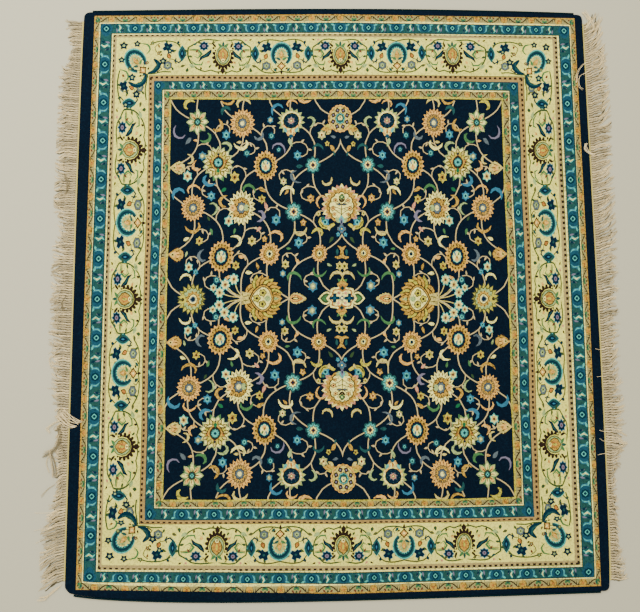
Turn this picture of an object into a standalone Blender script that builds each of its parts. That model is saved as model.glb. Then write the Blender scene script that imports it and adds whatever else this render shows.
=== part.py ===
# Hand-knotted Persian rug lying flat: pile body, two overcast selvedges, two flat-woven ends, two fringes.
# Metres, +Z up. +X runs with the warps to the right-hand fringe, +Y across them to the upper selvedge.
# The origin is on the floor under the middle of the rug's box.
import math

import bmesh
import bpy

GAP = 0.0003  # between pieces that touch

# Pile body, four corners before rounding: (x, y, rounding radius)
CORNERS = {
    "top_left": (-1.224, 1.3765, 0.016),
    "top_right": (1.216, 1.3695, 0.020),
    "bottom_right": (1.223, -1.3555, 0.026),
    "bottom_left": (-1.217, -1.3475, 0.038),
}
PILE_THICKNESS = 0.010
PILE_SHOULDER = 0.003  # rounded upper edge of the pile

# Each side bows outwards, furthest at the share of its length given as peak, seen from its first corner
SIDES = {
    # side: (first corner, second corner, bow, peak)
    "top": ("top_right", "top_left", 0.018, 0.42),
    "left": ("top_left", "bottom_left", 0.006, 0.33),
    "bottom": ("bottom_left", "bottom_right", 0.041, 0.29),
    "right": ("bottom_right", "top_right", 0.010, 0.30),
}
STATIONS = 36  # stretches along each side
CORNER_SHARE = 0.0165  # of a side's length, left to each of its corners
CORNER_STEPS = 5  # stretches round one corner

SELVEDGE_RADIUS = 0.0045  # warps wrapped in dark wool
SELVEDGE_RINGS = 2  # bevel resolution of the cord, for eight sides

KILIM_WIDTH = 0.008  # flat-woven cream band at a fringed end
KILIM_THICKNESS = 0.004

COMB_LINE = 2 * GAP + KILIM_WIDTH  # where the fringe starts, outside the pile
FRINGE_THICKNESS = 0.003
FRINGE_HEADING = 0.004  # knotted line that joins the bunches
BUNCHES = 70  # bunches of warps along one end
BUNCH_STEPS = 3  # stretches along one bunch
BUNCH_ROOT = 0.011
BUNCH_TIP = 0.006
BUNCH_SWAY = 0.006
FRINGE_REACH = 1.3475  # from the middle to the longest ends

# How the fringe lies along an end: (share of the side from the top corner down, length, sideways lean up)
FRINGE_LAY = {
    "left": ((0.00, 0.088, 0.01), (0.07, 0.050, 0.00), (0.12, 0.098, 0.01), (0.35, 0.112, 0.00),
             (0.39, 0.060, 0.00), (0.43, 0.098, 0.00), (0.58, 0.105, 0.01), (0.72, 0.060, 0.01),
             (0.84, 0.050, -0.02), (0.90, 0.112, -0.04), (1.00, 0.100, -0.05)),
    "right": ((0.00, 0.060, 0.07), (0.05, 0.085, 0.05), (0.14, 0.116, 0.02), (0.40, 0.098, 0.01),
              (0.62, 0.072, 0.00), (0.76, 0.098, -0.01), (0.82, 0.034, 0.00), (0.93, 0.045, 0.00),
              (1.00, 0.085, -0.01)),
}

COLOURS = {
    # slot: (red, green, blue, roughness)
    "wool_pile": (0.012, 0.026, 0.050, 0.95),
    "selvedge_wool": (0.010, 0.032, 0.035, 0.90),
    "kilim_cotton": (0.62, 0.52, 0.30, 0.90),
    "fringe_cotton": (0.55, 0.43, 0.27, 0.90),
}


def clearScene():
    for item in list(bpy.data.objects):
        bpy.data.objects.remove(item, do_unlink=True)


def material(slot):
    red, green, blue, roughness = COLOURS[slot]
    made = bpy.data.materials.get(slot) or bpy.data.materials.new(slot)
    made.use_nodes = True
    shader = made.node_tree.nodes["Principled BSDF"]
    shader.inputs["Base Color"].default_value = (red, green, blue, 1)
    shader.inputs["Roughness"].default_value = roughness
    shader.inputs["Metallic"].default_value = 0
    return made


def sidePoint(side, share, offset=0.0):
    # A point on a side at a share of its length, moved outwards by offset
    first, second, bow, peak = SIDES[side]
    ax, ay, _ = CORNERS[first]
    bx, by, _ = CORNERS[second]
    length = math.hypot(bx - ax, by - ay)
    outX, outY = -(by - ay) / length, (bx - ax) / length
    if outX * ax + outY * ay < 0:
        outX, outY = -outX, -outY
    skew = math.log(0.5) / math.log(peak)
    out = offset + bow * math.sin(math.pi * share**skew)
    return ax + (bx - ax) * share + outX * out, ay + (by - ay) * share + outY * out


def stations():
    return [CORNER_SHARE + (1 - 2 * CORNER_SHARE) * i / STATIONS for i in range(STATIONS + 1)]


def sideLine(side, offset=0.0):
    return [sidePoint(side, share, offset) for share in stations()]


def meshObject(name, bm, slot):
    bmesh.ops.recalc_face_normals(bm, faces=bm.faces)
    mesh = bpy.data.meshes.new(name)
    bm.to_mesh(mesh)
    bm.free()
    mesh.materials.append(material(slot))
    made = bpy.data.objects.new(name, mesh)
    bpy.context.collection.objects.link(made)
    return made


def slab(outline, thickness):
    # A flat closed plate on the floor, from its outline
    bm = bmesh.new()
    base = bm.faces.new([bm.verts.new((x, y, 0)) for x, y in outline])
    top = bmesh.ops.extrude_face_region(bm, geom=[base], use_keep_orig=True)["geom"]
    raised = [item for item in top if isinstance(item, bmesh.types.BMVert)]
    bmesh.ops.translate(bm, verts=raised, vec=(0, 0, thickness))
    return bm


def roundedCorner(name, before, after):
    # Quarter arc round a corner, between the points before and after it on its two sides
    x, y, radius = CORNERS[name]
    ends = []
    for nearX, nearY in (before, after):
        away = math.atan2(nearY - y, nearX - x)
        ends.append((x + radius * math.cos(away), y + radius * math.sin(away)))
    (startX, startY), (endX, endY) = ends
    centreX, centreY = startX + endX - x, startY + endY - y
    points = []
    for i in range(CORNER_STEPS + 1):
        turn = math.pi / 2 * i / CORNER_STEPS
        start, end = math.cos(turn), math.sin(turn)
        points.append((centreX + (startX - centreX) * start + (endX - centreX) * end,
                       centreY + (startY - centreY) * start + (endY - centreY) * end))
    return points


def pileBody():
    outline = []
    lines = [sideLine(side) for side in SIDES]
    for i, side in enumerate(SIDES):
        following = lines[(i + 1) % len(lines)]
        outline += lines[i] + roundedCorner(SIDES[side][1], lines[i][-1], following[0])
    bm = slab(outline, PILE_THICKNESS)
    rim = [e for e in bm.edges if all(v.co.z > PILE_THICKNESS / 2 for v in e.verts)]
    bmesh.ops.bevel(bm, geom=rim, offset=PILE_SHOULDER, offset_type="OFFSET", segments=2, profile=0.5,
                    affect="EDGES", material=-1, clamp_overlap=True)
    return meshObject("pile_rug", bm, "wool_pile")


def selvedge(side):
    curve = bpy.data.curves.new("selvedge_" + side, "CURVE")
    curve.dimensions = "3D"
    curve.bevel_depth = SELVEDGE_RADIUS
    curve.bevel_resolution = SELVEDGE_RINGS
    curve.use_fill_caps = True
    points = sideLine(side, SELVEDGE_RADIUS + GAP)
    spline = curve.splines.new("POLY")
    spline.points.add(len(points) - 1)
    for point, (x, y) in zip(spline.points, points):
        point.co = (x, y, SELVEDGE_RADIUS, 1)
    curve.materials.append(material("selvedge_wool"))
    made = bpy.data.objects.new(curve.name, curve)
    bpy.context.collection.objects.link(made)
    return made


def kilimEnd(side):
    inner = sideLine(side, GAP)
    outer = sideLine(side, GAP + KILIM_WIDTH)
    bm = slab(inner + outer[::-1], KILIM_THICKNESS)
    return meshObject("kilim_end_" + side, bm, "kilim_cotton")


def layAt(side, share):
    # Length and lean of the fringe at a share of the side, read between the rows of its table
    rows = FRINGE_LAY[side]
    for (start, lengthA, leanA), (end, lengthB, leanB) in zip(rows, rows[1:]):
        if share <= end:
            part = (share - start) / (end - start)
            return lengthA + (lengthB - lengthA) * part, leanA + (leanB - leanA) * part
    return rows[-1][1:]


def bunch(side, index, first, last):
    # Outline of one bunch of warps, out from the heading and back to it
    middle = (first + last) / 2
    fromTop = middle if side == "left" else 1 - middle
    length, lean = layAt(side, fromTop)
    length += 0.004 * math.sin(2.4 * index)
    sway = BUNCH_SWAY * math.sin(1.7 * index)
    rootX, rootY = sidePoint(side, middle, COMB_LINE + FRINGE_HEADING)
    outwards = 1 if side == "right" else -1
    tipX = rootX + outwards * length
    if abs(tipX) > FRINGE_REACH:
        tipX = outwards * FRINGE_REACH
    along = -1 if side == "left" else 1
    edges = ([], [])
    for step in range(BUNCH_STEPS + 1):
        part = step / BUNCH_STEPS
        half = (BUNCH_ROOT + (BUNCH_TIP - BUNCH_ROOT) * part) / 2
        x = rootX + (tipX - rootX) * part
        y = rootY + lean * part**1.5 + sway * math.sin(math.pi * part)
        edges[0].append((x, y - along * half))
        edges[1].append((x, y + along * half))
    return edges[0] + edges[1][::-1]


def fringe(side):
    start = CORNER_SHARE
    pitch = (1 - 2 * start) / BUNCHES
    inner = sideLine(side, COMB_LINE)
    outline = [sidePoint(side, start, COMB_LINE + FRINGE_HEADING)]
    for index in range(BUNCHES):
        outline += bunch(side, index, start + pitch * index, start + pitch * (index + 1))
    outline.append(sidePoint(side, 1 - start, COMB_LINE + FRINGE_HEADING))
    bm = slab(outline + inner[::-1], FRINGE_THICKNESS)
    return meshObject("fringe_" + side, bm, "fringe_cotton")


clearScene()
pileBody()
for name in ("top", "bottom"):
    selvedge(name)
for name in ("left", "right"):
    kilimEnd(name)
    fringe(name)
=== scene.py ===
# Hand-knotted rug lying flat: a pile sheet with its figured field and borders, overcast sides,
# flat-woven ends and two warp fringes. Everything is in metres but the chart, which is in centimetres.
import math
import random

import bmesh
import bpy
import numpy as np
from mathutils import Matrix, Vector
from mathutils.geometry import delaunay_2d_cdt


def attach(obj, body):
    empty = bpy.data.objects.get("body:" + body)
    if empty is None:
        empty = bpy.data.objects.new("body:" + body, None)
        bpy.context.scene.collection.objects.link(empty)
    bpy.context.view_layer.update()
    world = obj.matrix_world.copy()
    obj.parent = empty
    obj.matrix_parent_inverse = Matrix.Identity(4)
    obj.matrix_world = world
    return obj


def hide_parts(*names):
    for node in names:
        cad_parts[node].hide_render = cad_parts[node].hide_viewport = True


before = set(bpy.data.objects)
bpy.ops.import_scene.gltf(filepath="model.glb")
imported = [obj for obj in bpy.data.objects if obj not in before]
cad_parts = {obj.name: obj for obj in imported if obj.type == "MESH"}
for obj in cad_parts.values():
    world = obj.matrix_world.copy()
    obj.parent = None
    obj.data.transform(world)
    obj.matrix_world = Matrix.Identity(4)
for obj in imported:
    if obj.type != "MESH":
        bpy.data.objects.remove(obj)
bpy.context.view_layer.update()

# Wool and cotton colours, linear
dyes = {
    "navy": (0.00189, 0.00544, 0.0115),
    "night": (0.00326, 0.0119, 0.0231),
    "ivory": (0.805, 0.72, 0.194),
    "cream": (0.524, 0.429, 0.105),
    "vine": (0.451, 0.349, 0.144),
    "gold": (0.424, 0.249, 0.0352),
    "yellow": (0.432, 0.375, 0.0403),
    "peach": (0.651, 0.358, 0.0749),
    "orange": (0.391, 0.156, 0.0287),
    "rust": (0.0997, 0.0311, 0.016),
    "pink": (0.53, 0.245, 0.132),
    "brown": (0.0186, 0.011, 0.00692),
    "olive": (0.0592, 0.0646, 0.0202),
    "moss": (0.0248, 0.0521, 0.0181),
    "green": (0.00999, 0.105, 0.0375),
    "leaf": (0.0495, 0.143, 0.0451),
    "pale": (0.277, 0.359, 0.123),
    "teal": (0.0133, 0.0603, 0.0549),
    "blue": (0.0125, 0.0554, 0.0813),
    "deep": (0.00367, 0.0204, 0.0329),
    "aqua": (0.0782, 0.37, 0.287),
    "sky": (0.0304, 0.135, 0.197),
    "grey": (0.0835, 0.109, 0.112),
    "lilac": (0.137, 0.123, 0.162),
    "sea": (0.015, 0.0609, 0.0468),
    "ground": (0.71, 0.653, 0.128),
    "guard": (0.277, 0.238, 0.0805),
    "lineIn": (0.316, 0.206, 0.062),
    "lineOut": (0.329, 0.253, 0.0896),
}
dyeNames = list(dyes)
# Fine dark drawing inside a dye's areas: (its dye, how strong)
flecks = {
    "navy": ("night", 0.5), "ivory": ("olive", 0.7), "cream": ("brown", 0.6), "gold": ("brown", 0.8),
    "yellow": ("olive", 0.85), "peach": ("brown", 0.7), "orange": ("rust", 0.7), "pink": ("rust", 0.6),
    "pale": ("moss", 0.65),
    "teal": ("navy", 0.5), "blue": ("night", 0.5), "aqua": ("teal", 0.6), "sky": ("blue", 0.5),
    "grey": ("night", 0.5),
    "leaf": ("moss", 0.6), "green": ("moss", 0.5), "sea": ("night", 0.5), "ground": ("olive", 0.42),
    "guard": ("brown", 0.35),
    "lineIn": ("brown", 0.3), "lineOut": ("brown", 0.3), "vine": ("brown", 0.2),
}

# The chart is one quarter of the design, from the middle of the field to a corner, in centimetres
chartFrame = {
    "across": [79.9, 83.8, 88.2, 90.9, 106.4, 109.3, 115.1, 118.1, 122.7],
    "along": [94.3, 98.5, 103.4, 105.7, 124.6, 127.0, 132.3, 136.5, 138.9],
    "cornerRadius": 2.6,
    "cornerSteps": 6,
    "shoulder": 0.3,
    "grid": 9.0,
}
bands = ["field", "innerCream", "innerTeal", "innerLine", "main", "outerLine", "outerTeal", "outerCream",
         "navy"]
grounds = ["navy", "guard", "teal", "lineIn", "ground", "lineOut", "teal", "guard", "navy"]
chart = []


def smooth(line, step):
    # Points along a smooth line through the given ones
    ends = [line[0]] + list(line) + [line[-1]]
    found = []
    for a, b, c, d in zip(ends, ends[1:], ends[2:], ends[3:]):
        count = max(1, round(math.dist(b, c) / step))
        for i in range(count):
            t = i / count
            found.append(tuple(
                0.5 * (2 * q + (r - p) * t + (2 * p - 5 * q + 4 * r - s) * t * t
                       + (3 * q - p - 3 * r + s) * t**3)
                for p, q, r, s in zip(a, b, c, d)))
    found.append(line[-1])
    return found


def ribbon(line, width, start=1.0, end=1.0, step=1.5, teeth=0.0):
    # Outline of a strip along a smooth line. start and end are its width at the ends, of the width mid-way
    points = smooth(line, step)
    left, right = [], []
    last = len(points) - 1
    for i, (x, y) in enumerate(points):
        before, after = points[max(i - 1, 0)], points[min(i + 1, last)]
        run = math.dist(before, after) or 1
        outX, outY = -(after[1] - before[1]) / run, (after[0] - before[0]) / run
        share = i / last
        edge = start if share < 0.5 else end
        half = width / 2 * (edge + (1 - edge) * math.sin(math.pi * share))
        tooth = teeth * half * (i % 2)
        left.append((x + outX * (half + tooth), y + outY * (half + tooth)))
        right.append((x - outX * half, y - outY * half))
    return left + right[::-1]


def ring(radius, count=0, depth=0.2, full=0.6, tall=1.0, turn=90.0):
    # Round outline, or one with petals: depth is how far they are cut in, full how round they are
    if not count:
        count, parts = (3 if radius < 0.7 else 4 if 1.01 < radius < 2.2 else 6), ((0, 1), (0.5, 1))
    elif full < 0.35:
        parts = ((-0.5, 1 - depth), (0, 1))
    elif 1.01 < radius < 3.2:
        parts = ((-0.5, 1 - depth), (-0.2, 1), (0.2, 1))
    else:
        parts = ((-0.5, 1 - depth), (-0.24, 1 - depth * (1 - full)), (0, 1), (0.24, 1 - depth * (1 - full)))
    found = []
    for i in range(count):
        for part, reach in parts:
            angle = math.radians(turn) + 2 * math.pi * (i + part) / count
            found.append((radius * reach * math.cos(angle), tall * radius * reach * math.sin(angle)))
    return found


def shield(width, height, teeth=0, depth=0.16, peak=0.42, power=0.8):
    # Outline standing on (0, 0), widest at peak of its height, with so many teeth a side
    count = 2 * teeth or 8
    skew = math.log(0.5) / math.log(peak)
    side = []
    for i in range(1, count):
        part = i / count
        half = width / 2 * math.sin(math.pi * part**skew)**power
        lift = height * part
        if teeth and i % 2:
            half *= 1 + depth
            lift += 0.5 * height / count
        side.append((half, lift))
    return [(0, 0)] + side + [(0, height)] + [(-x, y) for x, y in side[::-1]]


def leafShape(length, width, bend=0.0, teeth=0, peak=0.4):
    # A leaf or drop from (0, 0) upwards, its tip bent sideways
    count = 2 * teeth or (3 if length < 2.4 else 4)
    skew = math.log(0.5) / math.log(peak)
    left, right = [], []
    for i in range(1, count):
        part = i / count
        half = width / 2 * math.sin(math.pi * part**skew)
        middle = bend * length * part**2
        tooth = 0.45 * half if teeth and i % 2 else 0
        left.append((middle - half - tooth, length * part))
        right.append((middle + half, length * part))
    return [(0, 0)] + right + [(bend * length, length)] + left[::-1]


def moved(outline, x, y, turn=0.0):
    c, s = math.cos(math.radians(turn)), math.sin(math.radians(turn))
    return [(x + c * u - s * v, y + s * u + c * v) for u, v in outline]


def paint(motif, x=0.0, y=0.0, turn=0.0, size=1.0, tall=1.2, flip=False, band="field"):
    # Lays a motif on the chart. Later ones cover earlier ones
    for dye, outline in motif:
        turned = moved([(-u if flip else u, v) for u, v in outline], 0, 0, turn)
        chart.append((band, dye, [(x + size * u, y + size * tall * v) for u, v in turned]))


def vine(line, width=0.65, dye="vine", start=1.0, end=1.0, teeth=0.0, step=1.5, band="field"):
    chart.append((band, dye, ribbon(line, width, start, end, step, teeth)))


def flower(radius, rings, dots=()):
    # Rings from the outside in: (dye, share of the radius, petals, notch depth, fullness)
    motif = [(dye, ring(radius * share, count, depth, full)) for dye, share, count, depth, full in rings]
    for dye, share, count, size in dots:
        for i in range(count):
            angle = 360 * (i + 0.5) / count
            dot = [(size * u, size * v) for u, v in ((0.9, 0), (0, 0.6), (-0.9, 0), (0, -0.6))]
            motif.append((dye, moved(moved(dot, radius * share, 0), 0, 0, angle)))
    return motif


def blossom(radius, count, petal, heart, eye, rim=None, full=0.8):
    rings = [(petal, 1, count, 0.34, full), (heart, 0.5, 0, 0, 0), (eye, 0.26, 0, 0, 0)]
    if rim:
        rings = [(rim, 1, count, 0.3, full), (petal, 0.78, count, 0.34, full)] + rings[1:]
    return flower(radius, rings)


def petals(count, start, sweep, radius, length, width, dye, inner=None, peak=0.5):
    # Separate petals round the middle, from start through sweep degrees
    motif = []
    for i in range(count):
        angle = start + (sweep * i / (count - 1) if count > 1 else 0)
        motif.append((dye, moved(moved(leafShape(length, width, peak=peak), 0, radius), 0, 0, angle - 90)))
        if inner:
            slit = leafShape(length * 0.62, width * 0.34, peak=0.45)
            motif.append((inner, moved(moved(slit, 0, radius + length * 0.14), 0, 0, angle - 90)))
    return motif


def medallion():
    # The lobed cartouche in the middle of the field
    motif = []
    for side in (1, -1):
        turn = 0 if side > 0 else 180
        motif += [("ivory", moved(shield(6.1, 6.55, 0, peak=0.42, power=0.9), side * 4.45, 0, -90 * side)),
                  ("moss", moved(shield(4.7, 4.95, 0, peak=0.42, power=0.9), side * 5.15, 0, -90 * side)),
                  ("leaf", moved(shield(2.8, 3.3, 0, peak=0.42, power=0.9), side * 5.9, 0, -90 * side))]
        motif += [(d, moved(o, 0, side * 6.55, turn)) for d, o in (
            ("leaf", moved(leafShape(3.3, 1.5), 0, 0, 44)), ("leaf", moved(leafShape(3.3, 1.5), 0, 0, -44)),
            ("yellow", leafShape(3, 1.85)), ("moss", moved(leafShape(1.85, 0.75), 0, 0.45)))]
        motif.append(("gold", moved(shield(4.7, 3.3, 3, 0.12, 0.4), 0, side * 4.7, turn)))
    motif += [(dye, [(7.3 * size * u, 6.35 * size * v) for u, v in ring(1, 8, 0.17, 0.5)])
              for dye, size in (
        ("brown", 1.03), ("ivory", 1.0), ("rust", 0.84), ("orange", 0.8), ("ivory", 0.74))]
    for side in (1, -1):
        motif += [(d, moved(o, side * 3.45, 0))
                  for d, o in flower(2.35, [("deep", 1, 4, 0.5, 0.8), ("blue", 0.3, 0, 0, 0)])]
        motif += [(d, moved(o, 0, side * 4.6)) for d, o in flower(1.85, [
            ("orange", 1, 6, 0.25, 0.7), ("moss", 0.6, 4, 0.3, 0.7), ("night", 0.34, 0, 0, 0)])]
        motif += [("pink", moved(ring(0.85, 5, 0.3, 0.3), side * 1.6, y)) for y in (2.35, -2.35)]
    return motif + flower(1.3, [("grey", 1, 4, 0.3, 0.8), ("ivory", 0.45, 0, 0, 0)])


def slits(count, radius, length, width, dye, turn=90.0, tall=1.0):
    # Thin marks set radially in a circle
    mark = [(0, -width / 2), (length / 2, 0), (0, width / 2), (-length / 2, 0)]
    placed = [moved(moved(mark, radius, 0), 0, 0, turn + 360 * i / count) for i in range(count)]
    return [(dye, [(u, v * tall) for u, v in outline]) for outline in placed]


def rosette(radius, count, outer, inner, core, eye, mark="brown", line="brown"):
    # A full flower: pointed petals with a slit each, a ring of dots, a core
    return ([(outer, ring(radius, count, 0.2, 0.3))]
            + slits(count, radius * 0.76, radius * 0.26, radius * 0.085, mark)
            + flower(radius, [(line, 0.62, count, 0.08, 0.3), (inner, 0.57, count, 0.08, 0.3)])
            + slits(count, radius * 0.48, radius * 0.12, radius * 0.09, line, 90 + 180 / count)
            + flower(radius, [(line, 0.4, 9, 0.2, 0.3), (core, 0.34, 9, 0.24, 0.3), (eye, 0.16, 0, 0, 0)]))


def crownPalmette():
    # Large palmette: petals curl round an ivory heart, its crown up and its foot at (0, 0)
    motif = [("brown", moved(ring(8.15, 13, 0.12, 0.5), 0, 9.35)),
             ("gold", moved(ring(7.75, 13, 0.12, 0.5), 0, 9.35))]
    for side in (1, -1):
        motif += [("brown", moved(leafShape(9.35, 4.2, -0.4 * side, 3), side * 1.85, 1.85, -58 * side)),
                  ("gold", moved(leafShape(9.15, 3.55, -0.4 * side, 3), side * 1.85, 2.05, -58 * side)),
                  ("brown", moved(leafShape(7.5, 0.55, -0.4 * side), side * 1.85, 2.05, -58 * side))]
    for i in range(9):
        angle = 128 - 15.2 * i
        for side in (1, -1):
            x, y = side * 4.5 * math.sin(math.radians(angle)), 9.35 + 4.2 * math.cos(math.radians(angle))
            turn = -side * (angle - 20)
            long = 6.75 - 0.2 * i
            motif += [("brown", moved(leafShape(long, 3.85, -0.34 * side, peak=0.5), x, y, turn)),
                      ("gold" if i % 3 else "yellow",
                       moved(leafShape(long * 0.98, 3.2, -0.34 * side, peak=0.5), x, y, turn)),
                      ("brown", moved(leafShape(long * 0.8, 0.5, -0.3 * side), x, y, turn))]
    motif += [("brown", moved(leafShape(6.1, 4.2, peak=0.5), 0, 12.65)),
              ("gold", moved(leafShape(5.9, 3.55, peak=0.5), 0, 12.65)),
              ("pale", moved(leafShape(4.2, 1.4, peak=0.5), 0, 13.1)),
              ("cream", [(-2.05, 4.7), (-3, 0), (-1.2, 0.65), (0, 0), (1.2, 0.65), (3, 0), (2.05, 4.7)]),
              ("brown", moved(leafShape(3.75, 0.4), 0.75, 0.45, -8)),
              ("brown", moved(leafShape(3.75, 0.4), -0.75, 0.45, 8)),
              ("brown", moved(shield(13.1, 11.7, 0, peak=0.56, power=0.6), 0, 3.3)),
              ("gold", moved(shield(12.15, 10.75, 0, peak=0.56, power=0.6), 0, 3.85)),
              ("night", moved(shield(10.95, 9.75, 0, peak=0.58, power=0.62), 0, 4.2)),
              ("ivory", moved(shield(10.2, 9, 0, peak=0.58, power=0.62), 0, 4.7)),
              ("pale", moved(leafShape(3.3, 2.8, peak=0.5), 0, 10.3))]
    for x, y in ((0, 7), (2.55, 9.65), (-2.55, 9.65)):
        motif += [(d, moved(o, x, y)) for d, o in flower(1.8, [
            ("brown", 1, 5, 0.22, 0.8), ("yellow", 0.8, 5, 0.22, 0.8), ("brown", 0.36, 0, 0, 0)])]
    return motif


def shieldPalmette():
    # Palmette over the medallion: toothed gold shield with branches inside, base at (0, 0)
    motif = []
    for i in range(19):
        angle = math.radians(-126 + 14 * i)
        x, y = 6.75 * math.sin(angle), 8.9 + 7.5 * math.cos(angle)
        turn = -math.degrees(math.atan2(x / 14.4, (y - 8.9) / 16))
        for dye, length, width in (("ivory" if i % 2 else "pink", 3.1, 2.7), ("gold", 1.95, 1.95)):
            motif.append((dye, moved(leafShape(length, width, peak=0.3), x * 0.94, 8.9 + (y - 8.9) * 0.94,
                                     turn)))
    motif.insert(0, ("ivory", moved(leafShape(4.2, 2.35), 0, 15.45)))
    motif.append(("gold", moved([(7.2 * u, 8.15 * v) for u, v in ring(1)], 0, 8.9)))
    motif += [(d, moved(o, 0, 8.9)) for d, o in slits(24, 6.65, 0.95, 0.35, "rust", 90, 1.12)]
    motif += [(dye, moved([(wide * u, tall * v) for u, v in ring(1, 13, 0.09, 0.85)], 0, 8.6))
              for dye, wide, tall in (
        ("brown", 6.2, 7.1), ("ivory", 5.7, 6.65))]
    motif.append(("brown", ribbon([(0, 2.35), (0, 12.65)], 0.34, 1, 0.5)))
    for side in (1, -1):
        for start, reach, lift in ((4.7, 3.95, 2.35), (7.2, 4, 1.1), (9.35, 3.05, 1.85)):
            line = [(0, start), (side * reach * 0.5, start + lift * 0.7), (side * reach, start + lift)]
            motif.append(("brown", ribbon(line, 0.3, 1, 0.6, 1.2)))
        motif += [("brown", moved(leafShape(3, 1.2, 0.1), 0, 9.35, side * 76)),
                  ("grey", moved(leafShape(2.15, 0.55, 0.1), side * -0.35, 9.45, side * 76)),
                  ("brown", moved(leafShape(2.6, 1.05), 0, 10.5, side * 38))]
        for x, y, size in ((4, 7.75, 1.25), (3, 11.5, 1.1), (3.3, 4.95, 1)):
            motif += [(d, moved(o, side * x, y)) for d, o in flower(size, [
                ("brown", 1, 6, 0.25, 0.8), ("peach", 0.76, 6, 0.25, 0.8), ("brown", 0.34, 0, 0, 0)])]
        horn = [(side * 3.3, 0.45), (side * 5.85, -1.15), (side * 8.65, -0.7), (side * 10.05, 1.65),
                (side * 9.55, 3.75)]
        motif += [("yellow", ribbon(horn, 1.6, 0.7, 0.3, 1.4, 0.5)),
                  ("brown", ribbon(horn[1:4], 0.4, 0.4, 0.3)),
                  ("teal", moved(ring(1.05), side * 8.6, 3.1)), ("leaf", moved(ring(0.5), side * 8.6, 3.1)),
                  ("cream", moved(leafShape(2.35, 1.6), side * 6.1, -0.45, side * 170)),
                  ("pale", moved(leafShape(3.3, 2.35), side * 0.45, 1.1, -side * 46))]
    motif += [(d, moved(o, 0, 13.1))
              for d, o in flower(1.45, [("brown", 1, 4, 0.25, 0.7), ("leaf", 0.74, 4, 0.25, 0.7),
                                 ("ivory", 0.3, 0, 0, 0)])]
    motif += [("aqua", moved(leafShape(4.2, 2.8), 0, 0.45)), ("lilac", moved(leafShape(3.75, 1.6), 0, 0)),
              ("deep", moved(leafShape(1.85, 0.75), 0, 0.45))]
    motif += [(d, moved(o, 0, -1.85)) for d, o in flower(2.15, [
        ("grey", 1, 4, 0.34, 0.8), ("sky", 0.62, 4, 0.3, 0.8), ("deep", 0.34, 0, 0, 0),
        ("ivory", 0.2, 0, 0, 0)])]
    return motif


def doubleRosette():
    return rosette(7.2, 19, "ivory", "gold", "grey", "ivory") + [
        ("gold", moved(leafShape(2.8, 2.35), 4.2, -3.55, 48)),
        ("gold", moved(leafShape(2.8, 2.35), 4.2, 3.55, 132)),
        ("peach", moved(ring(1.5), 4.4, 0)), ("brown", moved(ring(0.4), 4.4, 0)),
        ("brown", moved(ring(0.4), 3.55, 3)), ("brown", moved(ring(0.4), 3.55, -3)),
        ("pale", moved(ring(1.4), -2.55, 0)), ("brown", moved(leafShape(1.2, 0.55), -3.1, 0, 90))]


def dottedRosette():
    return rosette(5.95, 19, "peach", "gold", "grey", "ivory", "rust", "deep")


def ringRosette():
    motif = [("peach", ring(6.25, 19, 0.17, 0.3)), ("gold", ring(5.25, 19, 0.06, 0.3))]
    motif += slits(17, 4.45, 1.05, 0.8, "brown")
    motif += flower(6.25, [("brown", 0.6, 15, 0.1, 0.3), ("night", 0.55, 15, 0.16, 0.3),
                           ("aqua", 0.4, 8, 0.12, 0.3), ("ivory", 0.34, 6, 0.14, 0.8)])
    return motif + [("peach", moved(leafShape(2.6, 1.95, peak=0.35), 0, -2.05)),
                    ("leaf", moved(leafShape(1.85, 0.85), 0.55, 0.3, -26)),
                    ("sky", moved(leafShape(1.85, 0.85), -0.55, 0.3, 26)),
                    ("brown", moved(leafShape(1.4, 0.35), 0, -0.95))]


def starRosette():
    motif = [("moss", ring(4.85, 16, 0.22, 0.3, turn=90)), ("leaf", ring(4.4, 16, 0.3, 0.3, turn=90))]
    for i in range(8):
        motif += [(dye, moved(moved(leafShape(long, wide, peak=0.5), 0, 1.2), 0, 0, 45 * i))
                  for dye, long, wide in (
            ("pale", 4.4, 2.45), ("peach" if i % 2 else "ivory", 3.65, 1.6), ("rust", 2.15, 0.5))]
    return motif + flower(1.95, [("brown", 1, 8, 0.2, 0.3), ("sea", 0.8, 8, 0.3, 0.3),
                                 ("aqua", 0.46, 4, 0.4, 0.8), ("night", 0.2, 0, 0, 0)])


def spikyPalmette():
    # Corner palmette, pointed petals round a jewel; its base is down
    motif = [("leaf", moved(leafShape(5.15, 2.8), 0, -3.75, 150)),
             ("leaf", moved(leafShape(5.15, 2.8), 0, -3.75, -150)),
             ("pale", ring(7.75, 17, 0.2, 0.3)), ("ivory", ring(6.85, 17, 0.14, 0.3)),
             ("yellow", ring(5.45, 17, 0.1, 0.3))]
    motif += petals(11, -66, 312, 3.3, 3.45, 2.05, "brown", None)
    motif += petals(11, -66, 312, 3.75, 2.55, 1.2, "cream", None)
    for side in (1, -1):
        motif += [("brown", moved(leafShape(7, 2.6, 0.16 * side), side * 0.45, -3.75, -side * 28)),
                  ("orange", moved(leafShape(6.25, 1.8, 0.16 * side), side * 0.65, -3.3, -side * 28)),
                  ("brown", moved(leafShape(3.75, 1.6), side * 1.1, -3.45, -side * 74)),
                  ("ivory", moved(leafShape(3, 0.85), side * 1.4, -3.35, -side * 74))]
    motif += [("gold", moved(shield(7, 8.4, 0, peak=0.5, power=1.0), 0, -4.2)),
              ("brown", moved(shield(5.45, 6.55, 0, peak=0.5), 0, -3.1)),
              ("sea", moved(ring(2.25, 10, 0.12, 0.3), 0, 0.3)),
              ("aqua", moved(ring(1.85, 10, 0.2, 0.3), 0, 0.3)),
              ("deep", moved(ring(0.75, 4, 0.3, 0.7), 0, 0.3)),
              ("night", moved(ring(0.7, 4, 0.4, 0.8), 0, 3.95)),
              ("green", moved(leafShape(2.35, 1.85), 0, -4.5)),
              ("night", moved(leafShape(1.4, 0.75), 0, -5.6))]
    return motif


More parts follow.
